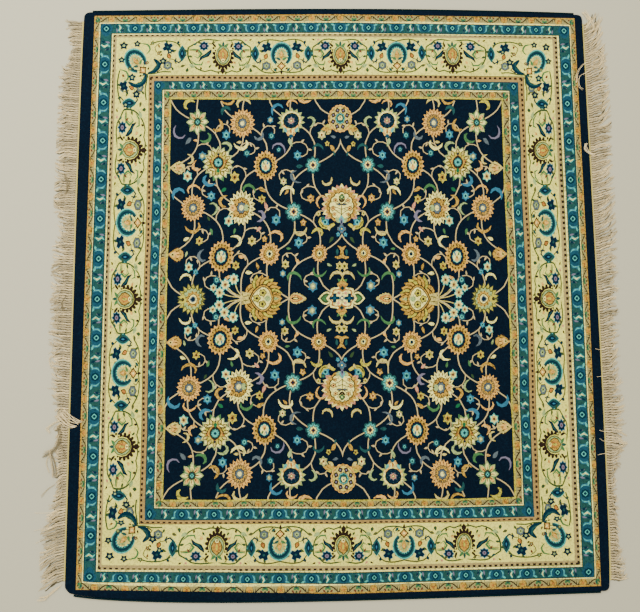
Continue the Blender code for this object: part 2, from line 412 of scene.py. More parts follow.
def axisRosette():
    motif = []
    for side in (1, -1):
        motif += [("gold", moved(leafShape(5.6, 2.8, 0.2 * side, 3), side * 3.3, -4.2, -side * 82)),
                  ("yellow", moved(leafShape(3.75, 1.6, 0.3 * side), side * 3.75, -3.75, -side * 60)),
                  ("cream", moved(leafShape(2.8, 1.6, 0.2 * side), side * 4.2, -5.15, -side * 110))]
    motif += [("peach", ring(5.8, 18, 0.06, 0.7)), ("gold", ring(5.35)), ("cream", ring(4.85))]
    for i in range(8):
        angle = 45 * i + 22.5
        motif += [("brown", moved(moved(ring(1.2, 4, 0.25, 0.3), 3.6, 0), 0, 0, angle)),
                  ("lilac", moved(moved([(0.5, 0), (0, 0.5), (-0.5, 0), (0, -0.5)], 3.6, 0), 0, 0, angle))]
    motif += [("brown", ring(2.6, 8, 0.14, 0.3)), ("aqua", ring(2.35, 8, 0.14, 0.3)),
              ("teal", ring(1.95, 8, 0.12, 0.3)), ("ivory", moved(ring(1.2, 3, 0.24, 0.8), 0, 0.3)),
              ("deep", moved(leafShape(0.95, 0.65), 0, 0))]
    return motif


def ovalPalmette():
    # Toothed palmette round a dark oval, its open base down
    motif = [("pale", moved(ring(7.3, 15, 0.24, 0.3), 0, 7)),
             ("yellow", moved(ring(6.45, 15, 0.24, 0.3), 0, 7)),
             ("ivory", moved(ring(5.45, 15, 0.08, 0.3), 0, 7.2)),
             ("peach", [(-4.7, 5.6), (-1.6, -0.95), (1.6, -0.95), (4.7, 5.6)]),
             ("ivory", [(-2.15, 4.2), (-0.4, -1.4), (0.4, -1.4), (2.15, 4.2)])]
    motif += [("peach", moved(o, 0, 7.2)) for _, o in slits(15, 5.35, 1.2, 0.5, "peach")]
    motif += [("brown", moved(ring(4.3), 0, 7.3)), ("night", moved(ring(3.95), 0, 7.3))]
    motif += [(d, moved(o, 0, 7.3)) for d, o in slits(9, 3.2, 0.7, 0.55, "sea") + flower(2.45, [
        ("grey", 1, 7, 0.4, 0.3), ("pink", 0.74, 6, 0.34, 0.3), ("brown", 0.44, 6, 0.3, 0.3),
        ("ivory", 0.24, 0, 0, 0)])]
    return motif + [("aqua", moved(leafShape(3.3, 1.6), 2.15, 0.95, -28)),
                    ("aqua", moved(leafShape(3.3, 1.6), -2.15, 0.95, 28)),
                    ("orange", moved(leafShape(3.3, 1.1), 0, 0)), ("blue", moved(ring(1.1), 0, -0.95))]


def heartRosette():
    # Toothed rosette opening towards the middle of the field: its crown is up
    motif = [("olive", ring(7.3, 17, 0.26, 0.3)), ("yellow", ring(6.75, 17, 0.26, 0.3)),
             ("brown", moved(ring(5.5, 15, 0.16, 0.3), 0, 0.35)),
             ("pale", moved(ring(5.05, 15, 0.16, 0.3), 0, 0.35))]
    motif += [(d, moved(o, 0, 0.45)) for d, o in slits(17, 5.6, 1.6, 0.4, "olive", 100)]
    motif += [("yellow", moved(leafShape(4.7, 4.2), 0, -6.35)),
              ("gold", moved(ring(3.85, 11, 0.2, 0.3), 0, 0.75))]
    motif += [(d, moved(o, 0, 0.75)) for d, o in slits(11, 3.2, 1.05, 0.4, "brown", 90)]
    motif += [("brown", moved(shield(4.85, 5.15, 0, peak=0.56, power=0.66), 0, -2.05)),
              ("ivory", moved(shield(4.2, 4.5, 0, peak=0.56, power=0.66), 0, -1.7)),
              ("grey", moved(shield(2.8, 3.1, 0, peak=0.56, power=0.66), 0, -1.05)),
              ("night", moved(shield(1.85, 2.25, 0, peak=0.6, power=0.7), 0, -0.55)),
              ("brown", moved(ring(0.8), 0, -4.4)), ("olive", moved(leafShape(2.8, 0.95), 0, -7))]
    return motif


def aquaFlower():
    motif = flower(4.3, [("teal", 1, 8, 0.24, 0.85), ("aqua", 0.8, 8, 0.24, 0.8)])
    motif += slits(8, 2.9, 1.4, 0.5, "teal")
    return motif + flower(4.3, [
        ("sea", 0.56, 8, 0.2, 0.3), ("ivory", 0.5, 8, 0.3, 0.3), ("rust", 0.28, 4, 0.3, 0.7),
        ("night", 0.14, 0, 0, 0)])


def goldRosette():
    return rosette(4.5, 15, "peach", "gold", "ivory", "night", "rust", "brown")


def smallPalmette(tone="orange"):
    # Slit palmette, its broad base at (0, 0)
    motif = [("cream", shield(5.8, 9.85, 6, 0.2, 0.36))]
    motif += [(tone, moved(shield(4.7, 7.95, 0, peak=0.38), 0, 0.3)),
              ("peach", moved(shield(3.55, 5.6, 0, peak=0.4), 0, 0.75)),
              ("brown", moved(shield(1.7, 5.15, 0, peak=0.45), 0, 0.95)),
              ("ivory", moved(shield(0.85, 2.8, 0, peak=0.5), 0, 2.35))]
    return motif


def halfPalmette(tone, inner, length=7.95, width=6.1, slits=5):
    # Palmette in profile: a serrated fan, base at (0, 0)
    motif = [(tone, shield(width, length, 6, 0.2, 0.6, 0.7)),
             (inner, moved(shield(width * 0.62, length * 0.72, 0, peak=0.6), 0, length * 0.08))]
    for i in range(slits):
        angle = -50 + 100 * i / (slits - 1)
        motif.append(("brown", moved(moved(leafShape(length * 0.3, 0.55), 0, length * 0.42), 0,
                                     length * 0.1, angle)))
    return motif + [("cream", moved(ring(width * 0.17), 0, length * 0.3)),
                    ("brown", moved(ring(width * 0.08), 0, length * 0.3))]


# The field hangs on a staggered lattice: so many columns and rows of flowers in a quarter. Lengths are in
# centimetres, turns in degrees, and a pair gives the least and the most
fieldPlan = {
    "columns": 3.5,
    "rows": 4.5,
    "drift": 1.8,
    "bow": 0.24,
    "vineWidth": 0.54,
    "tendrilStep": 3.1,
    "tendrilSteps": (4.2, 5.6),
    "tendrilWidth": 0.42,
    "tendrilSweep": 250,
    "scrollsEach": 4,
    "scrollReach": (8.6, 10.6),
    "scrollWidth": (0.9, 1.7),
    "scrollLength": (7.5, 11),
    "scrollSweep": 190,
    "fillers": 200,
    "fillerRadius": (1.1, 2.1),
    "footToMiddle": 9.4,
    "fanTurns": (18, 44, 70),
    "fanAcross": 10.5,
    "fanUp": 9.5,
    "seed": 23,
}
scrollDyes = ["gold", "ivory", "teal", "cream", "grey", "gold", "leaf", "lilac", "yellow", "sky", "peach",
              "pale"]
blossomDyes = [
    # petal, heart, eye, rim
    ("ivory", "cream", "rust", "aqua"), ("gold", "peach", "rust", None),
    ("sky", "aqua", "deep", None), ("cream", "yellow", "brown", None),
    ("peach", "ivory", "rust", "pale"), ("grey", "pale", "ivory", "sky"),
    ("yellow", "gold", "brown", None), ("teal", "aqua", "sea", "blue"),
]
leafDyes = ["leaf", "green", "ivory", "cream", "teal", "peach", "pale", "sky", "gold", "moss", "pink",
            "grey"]
fieldRandom = random.Random(fieldPlan["seed"])
filled = []


def latticePoint(column, row):
    x = column * chartFrame["across"][0] / fieldPlan["columns"]
    y = row * chartFrame["along"][0] / fieldPlan["rows"]
    return x, y


def flowerSpots():
    # Middle of each flower, by column and row. Those on the two middle lines stay on them, and the last row
    # lies past the field, so that vines run out under the border
    found = {}
    for row in range(int(fieldPlan["rows"]) + 2):
        column = 0.5 * (row % 2)
        while column <= fieldPlan["columns"]:
            x, y = latticePoint(column, row)
            x += fieldPlan["drift"] * fieldRandom.uniform(-1, 1) * (0 < column < fieldPlan["columns"])
            y += fieldPlan["drift"] * fieldRandom.uniform(-1, 1) * (row > 0)
            found[column, row] = x, y
            column += 1
    return found


spots = flowerSpots()


def bowed(a, b, bow):
    # Points from a to b, bent sideways by bow of their distance
    (ax, ay), (bx, by) = a, b
    return [(ax + (bx - ax) * t - (by - ay) * bow * math.sin(math.pi * t),
             ay + (by - ay) * t + (bx - ax) * bow * math.sin(math.pi * t))
            for t in (0, 0.2, 0.4, 0.6, 0.8, 1)]


def curling(x, y, heading, length, sweep, count=6):
    # Points of a line that turns faster and faster, through sweep degrees in all
    points = [(x, y)]
    for i in range(count):
        angle = math.radians(heading + sweep * ((i + 0.5) / count) ** 1.4)
        x, y = x + length / count * math.cos(angle), y + length / count * math.sin(angle)
        points.append((x, y))
    return points


def isFree(x, y, radius):
    return all(math.dist((x, y), (u, v)) > radius + taken for u, v, taken in filled)


def drawVines():
    # Arcs that join each flower to its neighbours in the next row, with a tendril off each
    for (column, row), start in spots.items():
        for side in (-0.5, 0.5):
            end = spots.get((column + side, row + 1))
            if not end:
                continue
            sense = 1 if row % 2 else -1
            line = bowed(start, end, fieldPlan["bow"] * sense)
            inside = [p for p in line if p[1] < chartFrame["along"][0] + 4]
            vine(inside, fieldPlan["vineWidth"], step=3.2)
            (ax, ay), (bx, by) = line[2], line[3]
            if by > chartFrame["along"][0] - 3:
                continue
            heading = math.degrees(math.atan2(by - ay, bx - ax))
            length = fieldPlan["tendrilStep"] * fieldRandom.uniform(*fieldPlan["tendrilSteps"])
            tendril = curling(bx, by, heading + 30 * sense, length, fieldPlan["tendrilSweep"] * sense, 7)
            vine(tendril, fieldPlan["tendrilWidth"], step=3)
            dyes = fieldRandom.choice(blossomDyes)
            radius = fieldRandom.uniform(1.7, 2.5)
            paint(blossom(radius, 6, *dyes, full=0.3), *tendril[-1])
            filled.append((*tendril[-1], radius + 0.4))
            for part in (2, 4):
                turn = heading + fieldRandom.uniform(-70, 70)
                paint([("vine", leafShape(1.9, 0.9, 0.2))], *tendril[part], turn)


def drawScrolls():
    # Curled leaves that turn round each flower
    number = 0
    for x, y in spots.values():
        first = fieldRandom.uniform(0, 360)
        for i in range(fieldPlan["scrollsEach"]):
            around = first + 360 * i / fieldPlan["scrollsEach"]
            away = fieldRandom.uniform(*fieldPlan["scrollReach"])
            startX = x + away * math.cos(math.radians(around))
            startY = y + away * math.sin(math.radians(around))
            sense = fieldRandom.choice((-1, 1))
            width = fieldRandom.uniform(*fieldPlan["scrollWidth"])
            length = fieldRandom.uniform(*fieldPlan["scrollLength"])
            points = curling(startX, startY, around + 50 * sense, length, fieldPlan["scrollSweep"] * sense)
            number += 1
            if startX < 1 or startY < 1 or not all(isFree(u, v, 0.6) for u, v in points[1::2]):
                continue
            dye = scrollDyes[number % len(scrollDyes)]
            vine(points, width, dye, 0.15, 0.3, 0.35, 2.0)
            filled.extend((u, v, width * 0.6) for u, v in points)


def drawFlowers():
    # Motif at each crossing of the lattice, by column and row:
    # (motif, turn, size, height over width, shift up, room kept free)
    large = {
        (0, 0): (medallion(), 0, 1, 1.0, 0, 10.5),
        (1, 0): (smallPalmette(), 90, 0.8, 1.0, 0, 4.5),
        (2, 0): (crownPalmette(), 90, 1, 1.04, 0, 11),
        (3, 0): (heartRosette(), 90, 0.92, 1.16, 0, 8),
        (0.5, 1): (goldRosette(), 0, 0.8, 1.2, 0, 4.6),
        (1.5, 1): (goldRosette(), 0, 1.05, 1.2, 0, 6),
        (2.5, 1): (ringRosette(), 0, 0.94, 1.3, 0, 7.6),
        (0, 2): (shieldPalmette(), 0, 1, 1.0, -8.9, 10),
        (1, 2): (aquaFlower(), 0, 0.95, 1.16, 0, 5),
        (2, 2): (doubleRosette(), 0, 0.9, 1.3, 0, 8),
        (3, 2): (dottedRosette(), 0, 0.95, 1.14, 0, 7.4),
        (0.5, 3): (aquaFlower(), 0, 0.85, 1.16, 0, 4.6),
        (1.5, 3): (ringRosette(), 0, 0.9, 1.3, 0, 7.4),
        (2.5, 3): (spikyPalmette(), 0, 0.96, 1.1, 0, 8.2),
        (0, 4): (axisRosette(), 0, 1, 1.18, 0, 8.4),
        (1, 4): (ovalPalmette(), 0, 0.9, 1.0, -6.4, 8),
        (2, 4): (dottedRosette(), 0, 1, 1.2, 0, 7.8),
        (3, 4): (starRosette(), 0, 0.95, 1.2, 0, 7),
        (3.5, 1): (halfPalmette("gold", "peach"), 90, 0.9, 1.0, 0, 6),
        (3.5, 3): (halfPalmette("cream", "peach"), 90, 0.9, 1.0, 0, 6),
    }
    for place in large:
        x, y = spots[place]
        filled.append((x - fieldPlan["footToMiddle"] * (place == (2, 0)), y, large[place][5]))
    # Small leaves and blossoms wherever there is room for them
    for i in range(fieldPlan["fillers"]):
        x = fieldRandom.uniform(0.8, chartFrame["across"][0] - 1)
        y = fieldRandom.uniform(0.8, chartFrame["along"][0] - 1)
        radius = fieldRandom.uniform(*fieldPlan["fillerRadius"])
        turn = fieldRandom.uniform(0, 360)
        if not isFree(x, y, radius * 0.9):
            continue
        filled.append((x, y, radius))
        if i % 3:
            bend = fieldRandom.uniform(-0.35, 0.35)
            tip, base = leafShape(2 * radius, 0.95 * radius, bend), math.radians(turn)
            paint([(fieldRandom.choice(leafDyes), tip)], x + radius * math.sin(base),
                  y - radius * math.cos(base), turn)
        else:
            paint(blossom(radius, fieldRandom.choice((5, 6)), *fieldRandom.choice(blossomDyes), full=0.3),
                  x, y)
    # Blossoms fanned out behind the large palmette
    footX = spots[2, 0][0]
    for angle in fieldPlan["fanTurns"]:
        tipX = footX + fieldPlan["fanAcross"] * math.cos(math.radians(angle))
        tipY = fieldPlan["fanUp"] * math.sin(math.radians(angle))
        vine([(footX - 1, 0.4), ((footX + tipX) / 2, tipY * 0.4), (tipX, tipY)], 0.4, "cream")
        paint(blossom(2.3, 7, "ivory", "cream", "rust", "aqua"), tipX, tipY)
    for place, (motif, turn, size, tall, shift, _) in large.items():
        x, y = spots[place]
        paint(motif, x, y + shift, turn, size, tall)


def edgeLines(band):
    # Distances of a band's inner and outer lines from the middle: along x, then along y
    index = bands.index(band) - 1
    return (chartFrame["across"][index:index + 2], chartFrame["along"][index:index + 2])


def frameLine(band, dye, first, last):
    # A plain line all round inside a band, between two shares of its width
    (xIn, xOut), (yIn, yOut) = edgeLines(band)
    x0, x1 = xIn + (xOut - xIn) * first, xIn + (xOut - xIn) * last
    y0, y1 = yIn + (yOut - yIn) * first, yIn + (yOut - yIn) * last
    chart.append((band, dye, [(-1, y1), (x1, y1), (x1, -1), (x0, -1), (x0, y0), (-1, y0)]))


def lay(edge, band, motif, u, width, stretch=1.0, direction=1):
    # Lays outlines along a border: u runs along it, v out from its inner line over a nominal width
    xLines, yLines = edgeLines(band)
    inner, outer = yLines if edge == "top" else xLines
    scale = (outer - inner) / width
    for dye, outline in motif:
        points = [(u + direction * stretch * a, inner + scale * b) for a, b in outline]
        chart.append((band, dye, points if edge == "top" else [(b, a) for a, b in points]))


def dashes(band, length, pitch, first, last):
    (xIn, xOut), (yIn, yOut) = edgeLines(band)
    for edge, reach in (("top", xIn + (xOut - xIn) * first), ("side", yIn + (yOut - yIn) * first)):
        count = round(reach / pitch)
        for i in range(count + 1):
            middle = reach * i / count
            box = [(-length / 2, first), (length / 2, first), (length / 2 * 0.8, last),
                   (-length / 2 * 0.8, last)]
            lay(edge, band, [("brown", box)], middle, 1.0)


def tealRepeat():
    # One repeat of a teal guard, 15 by 5: a rosette between leaves
    motif = [("blue", moved([(3.5 * u, 2.1 * v) for u, v in ring(1)], 0, 2.5))]
    for side in (1, -1):
        motif += [("sky", ribbon([(side * 2.0, 0.7), (side * 3.2, 1.5), (side * 3.4, 3.1),
                                  (side * 2.6, 4.3)], 0.9, 0.2, 0.2, 1.6)),
                  ("aqua", ribbon([(side * 2.4, 0.9), (side * 3.3, 2.0), (side * 3.1, 3.4)], 0.55, 0.2,
                                  0.2, 1.6)),
                  ("sea", moved(leafShape(3.4, 1.5, 0.3), side * 4.4, 0.8, -side * 20)),
                  ("aqua", moved(leafShape(2.3, 0.9), side * 4.9, 4.3, side * 110)),
                  ("lilac", moved(leafShape(2.2, 0.8), side * 6.3, 0.6, side * 14))]
    motif += [("deep", moved(ring(1.75, 8, 0.12, 0.3), 0, 2.5)),
              ("aqua", moved(ring(1.1, 4, 0.2, 0.3), 0, 2.5)),
              ("deep", moved(ring(0.6), 0, 2.5))]
    return motif


def tealLeaf():
    # The leaf half-way between two rosettes
    return [("aqua", ribbon([(-0.5, 0.6), (0.5, 1.6), (-0.4, 3.0), (0.5, 4.4)], 1.2, 0.2, 0.4, 1.2)),
            ("ivory", ribbon([(0.3, 1.5), (-0.3, 2.8), (0.4, 4.0)], 0.55, 0.3, 0.3, 1.2)),
            ("deep", moved(leafShape(2.0, 1.0), 1.3, 2.6, -24)),
            ("deep", moved(leafShape(1.8, 1.0), -1.2, 0.8, 20))]


def creamRepeat():
    # One repeat of a cream guard, 13 by 4.2: combed wings either side of a bud, on a waving stem
    motif = [("gold", moved([(1.5 * u, 1.9 * v) for u, v in ring(1)], 0, 2.1)),
             ("orange", moved(ring(0.65), 0, 2.4))]
    for side in (1, -1):
        motif += [("brown", ribbon([(side * 0.9, 3.5), (side * 2.4, 3.2), (side * 3.7, 1.8),
                                    (side * 5.2, 0.8), (side * 6.6, 1.0)], 0.5, 0.6, 0.8, 1.6))]
        for start, lean in ((1.5, 0.0), (2.4, 0.2), (3.3, 0.4)):
            top, foot = 3.3 - 0.55 * (start - 1.5), 1.1
            motif.append(("brown", [(side * start, top), (side * (start + 0.5), top),
                                    (side * (start + lean), foot)]))
        motif.append(("rust", moved(leafShape(1.7, 0.9), side * 4.5, 2.3, -side * 40)))
        motif.append(("brown", moved(leafShape(1.3, 0.7), side * 5.4, 3.9, -side * 110)))
    return motif


def creamLeaf():
    return [("leaf", moved(leafShape(2.1, 1.4), 0, 0.8, 34)),
            ("leaf", moved(leafShape(2.1, 1.4), 0, 0.8, -34)),
            ("sea", moved(ring(0.6), 0, 1.1)), ("moss", moved(leafShape(1.6, 0.9), 0, 2.4))]


def drawGuards():
    for band, topPitch, sidePitch in (("innerTeal", 15.2, 18.4), ("outerTeal", 14.6, 18.1)):
        frameLine(band, "deep", 0, 0.07)
        frameLine(band, "deep", 0.93, 1)
        xLines, yLines = edgeLines(band)
        for edge, reach, pitch in (("top", sum(xLines) / 2, topPitch),
                                   ("side", sum(yLines) / 2, sidePitch)):
            count = round(reach / pitch)
            pitch = reach / count
            for i in range(count + 1):
                lay(edge, band, tealRepeat() if i < count else tealRepeat()[:1] + tealRepeat()[-4:],
                    pitch * i, 5.0, pitch / 15)
            for i in range(count):
                lay(edge, band, tealLeaf(), pitch * (i + 0.5), 5.0, pitch / 15)
    for band, topPitch, sidePitch in (("innerCream", 13.2, 16.4), ("outerCream", 13.2, 16.2)):
        xLines, yLines = edgeLines(band)
        for edge, reach, pitch in (("top", sum(xLines) / 2, topPitch),
                                   ("side", sum(yLines) / 2, sidePitch)):
            count = round(reach / pitch - 0.5)
            pitch = reach / (count + 0.5)
            for i in range(count + 1):
                lay(edge, band, creamRepeat(), pitch * i, 4.2, pitch / 13)
                lay(edge, band, creamLeaf(), pitch * (i + 0.5), 4.2, pitch / 13)
    frameLine("innerCream", "yellow", 0, 0.2)
    frameLine("innerCream", "ivory", 0.88, 1)
    frameLine("outerCream", "ivory", 0, 0.12)
    frameLine("outerCream", "gold", 0.82, 1)
    frameLine("outerLine", "ivory", 0.72, 1)
    frameLine("outerLine", "olive", 0.66, 0.72)
    frameLine("innerLine", "brown", 0.9, 1)
    dashes("outerLine", 1.4, 2.5, 0.34, 0.66)
    dashes("innerLine", 1.4, 2.5, 0.42, 0.78)


def brownPalmette():
    # Palmette with brown teeth, out from the inner line of the main border
    motif = [("brown", moved([(5.3 * u, 6.9 * v) for u, v in ring(1, 17, 0.24, 0.85, turn=270)], 0, 9.2)),
             ("brown", moved(leafShape(3.6, 2.2), 0, 4.0, 180)),
             ("ground", moved([(3.7 * u, 5.2 * v) for u, v in ring(1)], 0, 10.2)),
             ("ground", [(-5.6, 12.6), (5.6, 12.6), (3.6, 17.0), (-3.6, 17.0)]),
             ("olive", moved([(3.4 * u, 4.9 * v) for u, v in ring(1)], 0, 10.0)),
             ("pale", moved([(3.0 * u, 4.4 * v) for u, v in ring(1)], 0, 10.1)),
             ("brown", moved(leafShape(8.2, 5.4, peak=0.45), 0, 14.0, 180)),
             ("gold", moved(leafShape(7.4, 4.6, peak=0.45), 0, 13.6, 180)),
             ("orange", moved(leafShape(5.4, 2.6, peak=0.45), 0, 12.6, 180)),
             ("yellow", moved(leafShape(3.4, 1.2), 0, 11.8, 180)),
             ("ivory", moved(ring(0.9), 0, 7.4)), ("rust", moved(ring(0.4), 0, 7.4))]
    for side in (1, -1):
        motif += [("brown", moved(leafShape(3.2, 1.1, 0.2), side * 3.4, 13.6, -side * 30)),
                  ("leaf", moved(leafShape(3.0, 1.4), side * 0.5, 13.8, -side * 44)),
                  ("brown", moved(ring(0.6), side * 4.6, 13.4))]
    return motif + [("sea", moved(leafShape(2.8, 1.3), 0, 14.2))]


def tealPalmette():
    # Open teal ring round a floret, its opening towards the inner line
    def arc(wide, tall, start, end, count):
        found = []
        for i in range(count + 1):
            angle = math.radians(start + (end - start) * i / count)
            found.append((wide * math.cos(angle), 10 + tall * math.sin(angle)))
        return found
    motif = [("aqua", ribbon(arc(4.2, 5.1, -56, 236, 24), 2.9, 0.4, 0.4, 9, 0.5)),
             ("teal", ribbon(arc(4.1, 5.0, -54, 234, 28), 1.7, 0.6, 0.6, 9, 0.8)),
             ("deep", ribbon(arc(3.9, 4.8, -48, 228, 18), 0.8, 0.4, 0.4, 9, 0)),
             ("cream", moved([(2.5 * u, 3.6 * v) for u, v in ring(1)], 0, 9.7)),
             ("pale", moved([(1.9 * u, 2.8 * v) for u, v in ring(1, 5, 0.2, 0.3)], 0, 10.4)),
             ("gold", moved(leafShape(4.4, 2.4), 0, 8.0)), ("peach", moved(leafShape(2.6, 1.2), 0, 9.4)),
             ("sea", moved(leafShape(3.0, 1.2, 0.2), 0.4, 7.4, -48)),
             ("leaf", moved(leafShape(3.0, 1.2, -0.2), -0.4, 7.4, 48)),
             ("brown", moved(ring(2.3, 4, 0.34, 0.3), 0, 4.6)),
             ("peach", moved(ring(1.5, 4, 0.3, 0.3), 0, 4.6)),
             ("ivory", moved(ring(0.5), 0, 4.6)), ("brown", moved(leafShape(2.4, 1.1), 0, 2.6, 180))]
    for side in (1, -1):
        motif += [("brown", ribbon([(side * 1.2, 5.6), (side * 2.4, 6.4), (side * 3.0, 5.2)], 0.5, 0.6,
                                   0.3, 1.4)),
                  ("brown", moved(leafShape(1.6, 0.9), side * 1.8, 3.0, -side * 60))]
    return motif


def halfCell(stretch, room):
    # Everything between a brown palmette at u = 0 and a teal one. room narrows small things back to shape
    def at(motif, u, v, turn=0):
        return [(dye, [(u + a / stretch * room, v + b) for a, b in moved(outline, 0, 0, turn)]) for dye,
                outline in motif]

    stems = [
        # (dye, width, share at its start, at its end, points)
        ("moss", 0.66, 1, 1, [(0.6, 16.8), (3, 17.4), (5.6, 17.7), (8.7, 17.2), (10.4, 15.7), (13, 13.8)]),
        ("moss", 0.62, 1, 1, [(13, 13.8), (13.2, 10.4), (12.2, 6.6), (9.6, 3.2), (6.6, 1.7), (4.4, 2.4),
                              (2.4, 1.6), (-0.5, 2.0)]),
        ("olive", 0.66, 1, 1, [(16.9, 15.9), (19, 17.2), (21.7, 17.7), (25, 17.4), (28.4, 16.6)]),
        ("moss", 0.62, 1, 1, [(15.2, 4.8), (18.2, 2.3), (21.2, 1.4), (25, 1.4), (28.4, 2.2)]),
        ("leaf", 1.0, 0.3, 0.2, [(12.6, 12.8), (9.2, 12.4), (8.0, 10.4), (9.4, 8.4), (11.0, 9.6)]),
        ("olive", 0.36, 1, 0.3, [(12.6, 12.2), (9.6, 11.8), (8.8, 10.2), (9.8, 9.2)]),
        ("leaf", 0.9, 0.2, 0.3, [(12.0, 7.2), (10.2, 5.2), (8.0, 5.0), (7.4, 6.8)]),
        ("olive", 0.5, 1, 0.3, [(17.4, 5.6), (18.2, 7.6), (19.8, 8.0), (19.8, 6.4)]),
        ("olive", 0.5, 1, 1, [(17.0, 15.4), (16.2, 14.2), (15.6, 13.6)]),
        ("night", 1.9, 0.2, 0.1, [(4.4, 12.6), (6.0, 9.8), (8.0, 8.6), (9.0, 6.6)]),
        ("teal", 0.7, 0.3, 0.2, [(5.0, 11.4), (6.6, 9.4), (8.2, 8.2)]),
        ("brown", 0.45, 1, 0.4, [(2.6, 16.9), (4.4, 15.4), (6.2, 16.2)]),
        ("brown", 0.45, 1, 0.4, [(24.6, 1.5), (22.8, 3.0), (23.6, 4.6)]),
    ]
    motif = [(dye, ribbon(points, width, start, end, 1.9)) for dye, width, start, end, points in stems]
    motif += at([("sky", ring(2.7, 8, 0.26, 0.3)), ("night", ring(2.3, 8, 0.3, 0.3)), ("lilac", ring(0.9)),
                 ("rust", ring(0.4))], 7.2, 14.4)
    motif += at([("aqua", leafShape(8.4, 4.2, peak=0.5)),
                 ("teal", moved(leafShape(7.6, 3.4, peak=0.5, teeth=4), 0, 0.4)),
                 ("night", moved(leafShape(5.0, 1.9, peak=0.5), 0, 1.4)),
                 ("sky", moved(leafShape(2.0, 0.7), 0, 3.2))], 15.3, 6.6)
    motif.append(("deep", ribbon([(15.4, 7.4), (16.4, 6.2), (17.8, 7.0), (17.5, 8.6)], 0.9, 0.7, 0.4)))
    motif += at([("sky", ring(2.7, 4, 0.4, 0.75, turn=60)), ("night", ring(2.4, 4, 0.4, 0.75, turn=60)),
                 ("teal", ring(0.6))], 20.8, 13.9)
    motif += at([("olive", ring(2.4, 6, 0.16, 0.3)), ("grey", ring(2.0, 6, 0.16, 0.3)),
                 ("pale", ring(1.2, 6, 0.3, 0.3)), ("brown", ring(0.4))], 20.6, 4.8)
    motif += at([("brown", leafShape(3.4, 2.2)), ("orange", moved(leafShape(2.4, 1.4), 0, 0.4))], 19.8,
                8.0, -20)
    leaves = [
        # (dye, length, width, u, v, turn)
        ("night", 2.2, 1.6, 19.4, 12.9, 140), ("moss", 2.0, 1.1, 18.8, 11.6, 60),
        ("moss", 2.4, 1.5, 13.4, 1.4, 10), ("sea", 2.4, 1.3, 25.4, 1.9, 40),
        ("rust", 1.8, 1.0, 24.4, 15.2, 160), ("olive", 2.4, 1.4, 15.8, 4.2, 70),
        ("deep", 2.2, 1.4, 16.6, 17.2, 200), ("rust", 2.2, 0.9, 9.4, 12.8, -150),
        ("pale", 3.4, 1.9, 10.4, 3.8, -60), ("moss", 2.0, 1.0, 5.2, 3.4, 30),
        ("moss", 2.2, 1.2, 12.9, 9.6, 110), ("moss", 2.2, 1.2, 13.2, 11.6, -60),
        ("olive", 2.2, 1.2, 3.6, 17.2, 190), ("olive", 2.2, 1.2, 9.6, 16.6, 120),
        ("moss", 2.0, 1.1, 21.6, 17.4, 150), ("moss", 2.0, 1.1, 18.4, 2.2, -20),
        ("brown", 1.8, 1.0, 8.0, 2.4, -10), ("sea", 2.2, 1.2, 11.2, 14.9, 60),
        ("brown", 1.6, 0.9, 12.2, 17.2, -60), ("olive", 1.8, 1.0, 1.8, 2.0, 160),
        ("pink", 1.5, 1.2, 11.0, 16.9, 40), ("brown", 1.6, 0.9, 23.6, 9.4, 40),
        ("moss", 1.6, 0.9, 22.8, 11.4, -70), ("peach", 1.9, 1.4, 5.8, 5.6, 30),
    ]
    for dye, length, width, u, v, turn in leaves:
        motif += at([(dye, leafShape(length, width))], u, v, turn)
    return motif


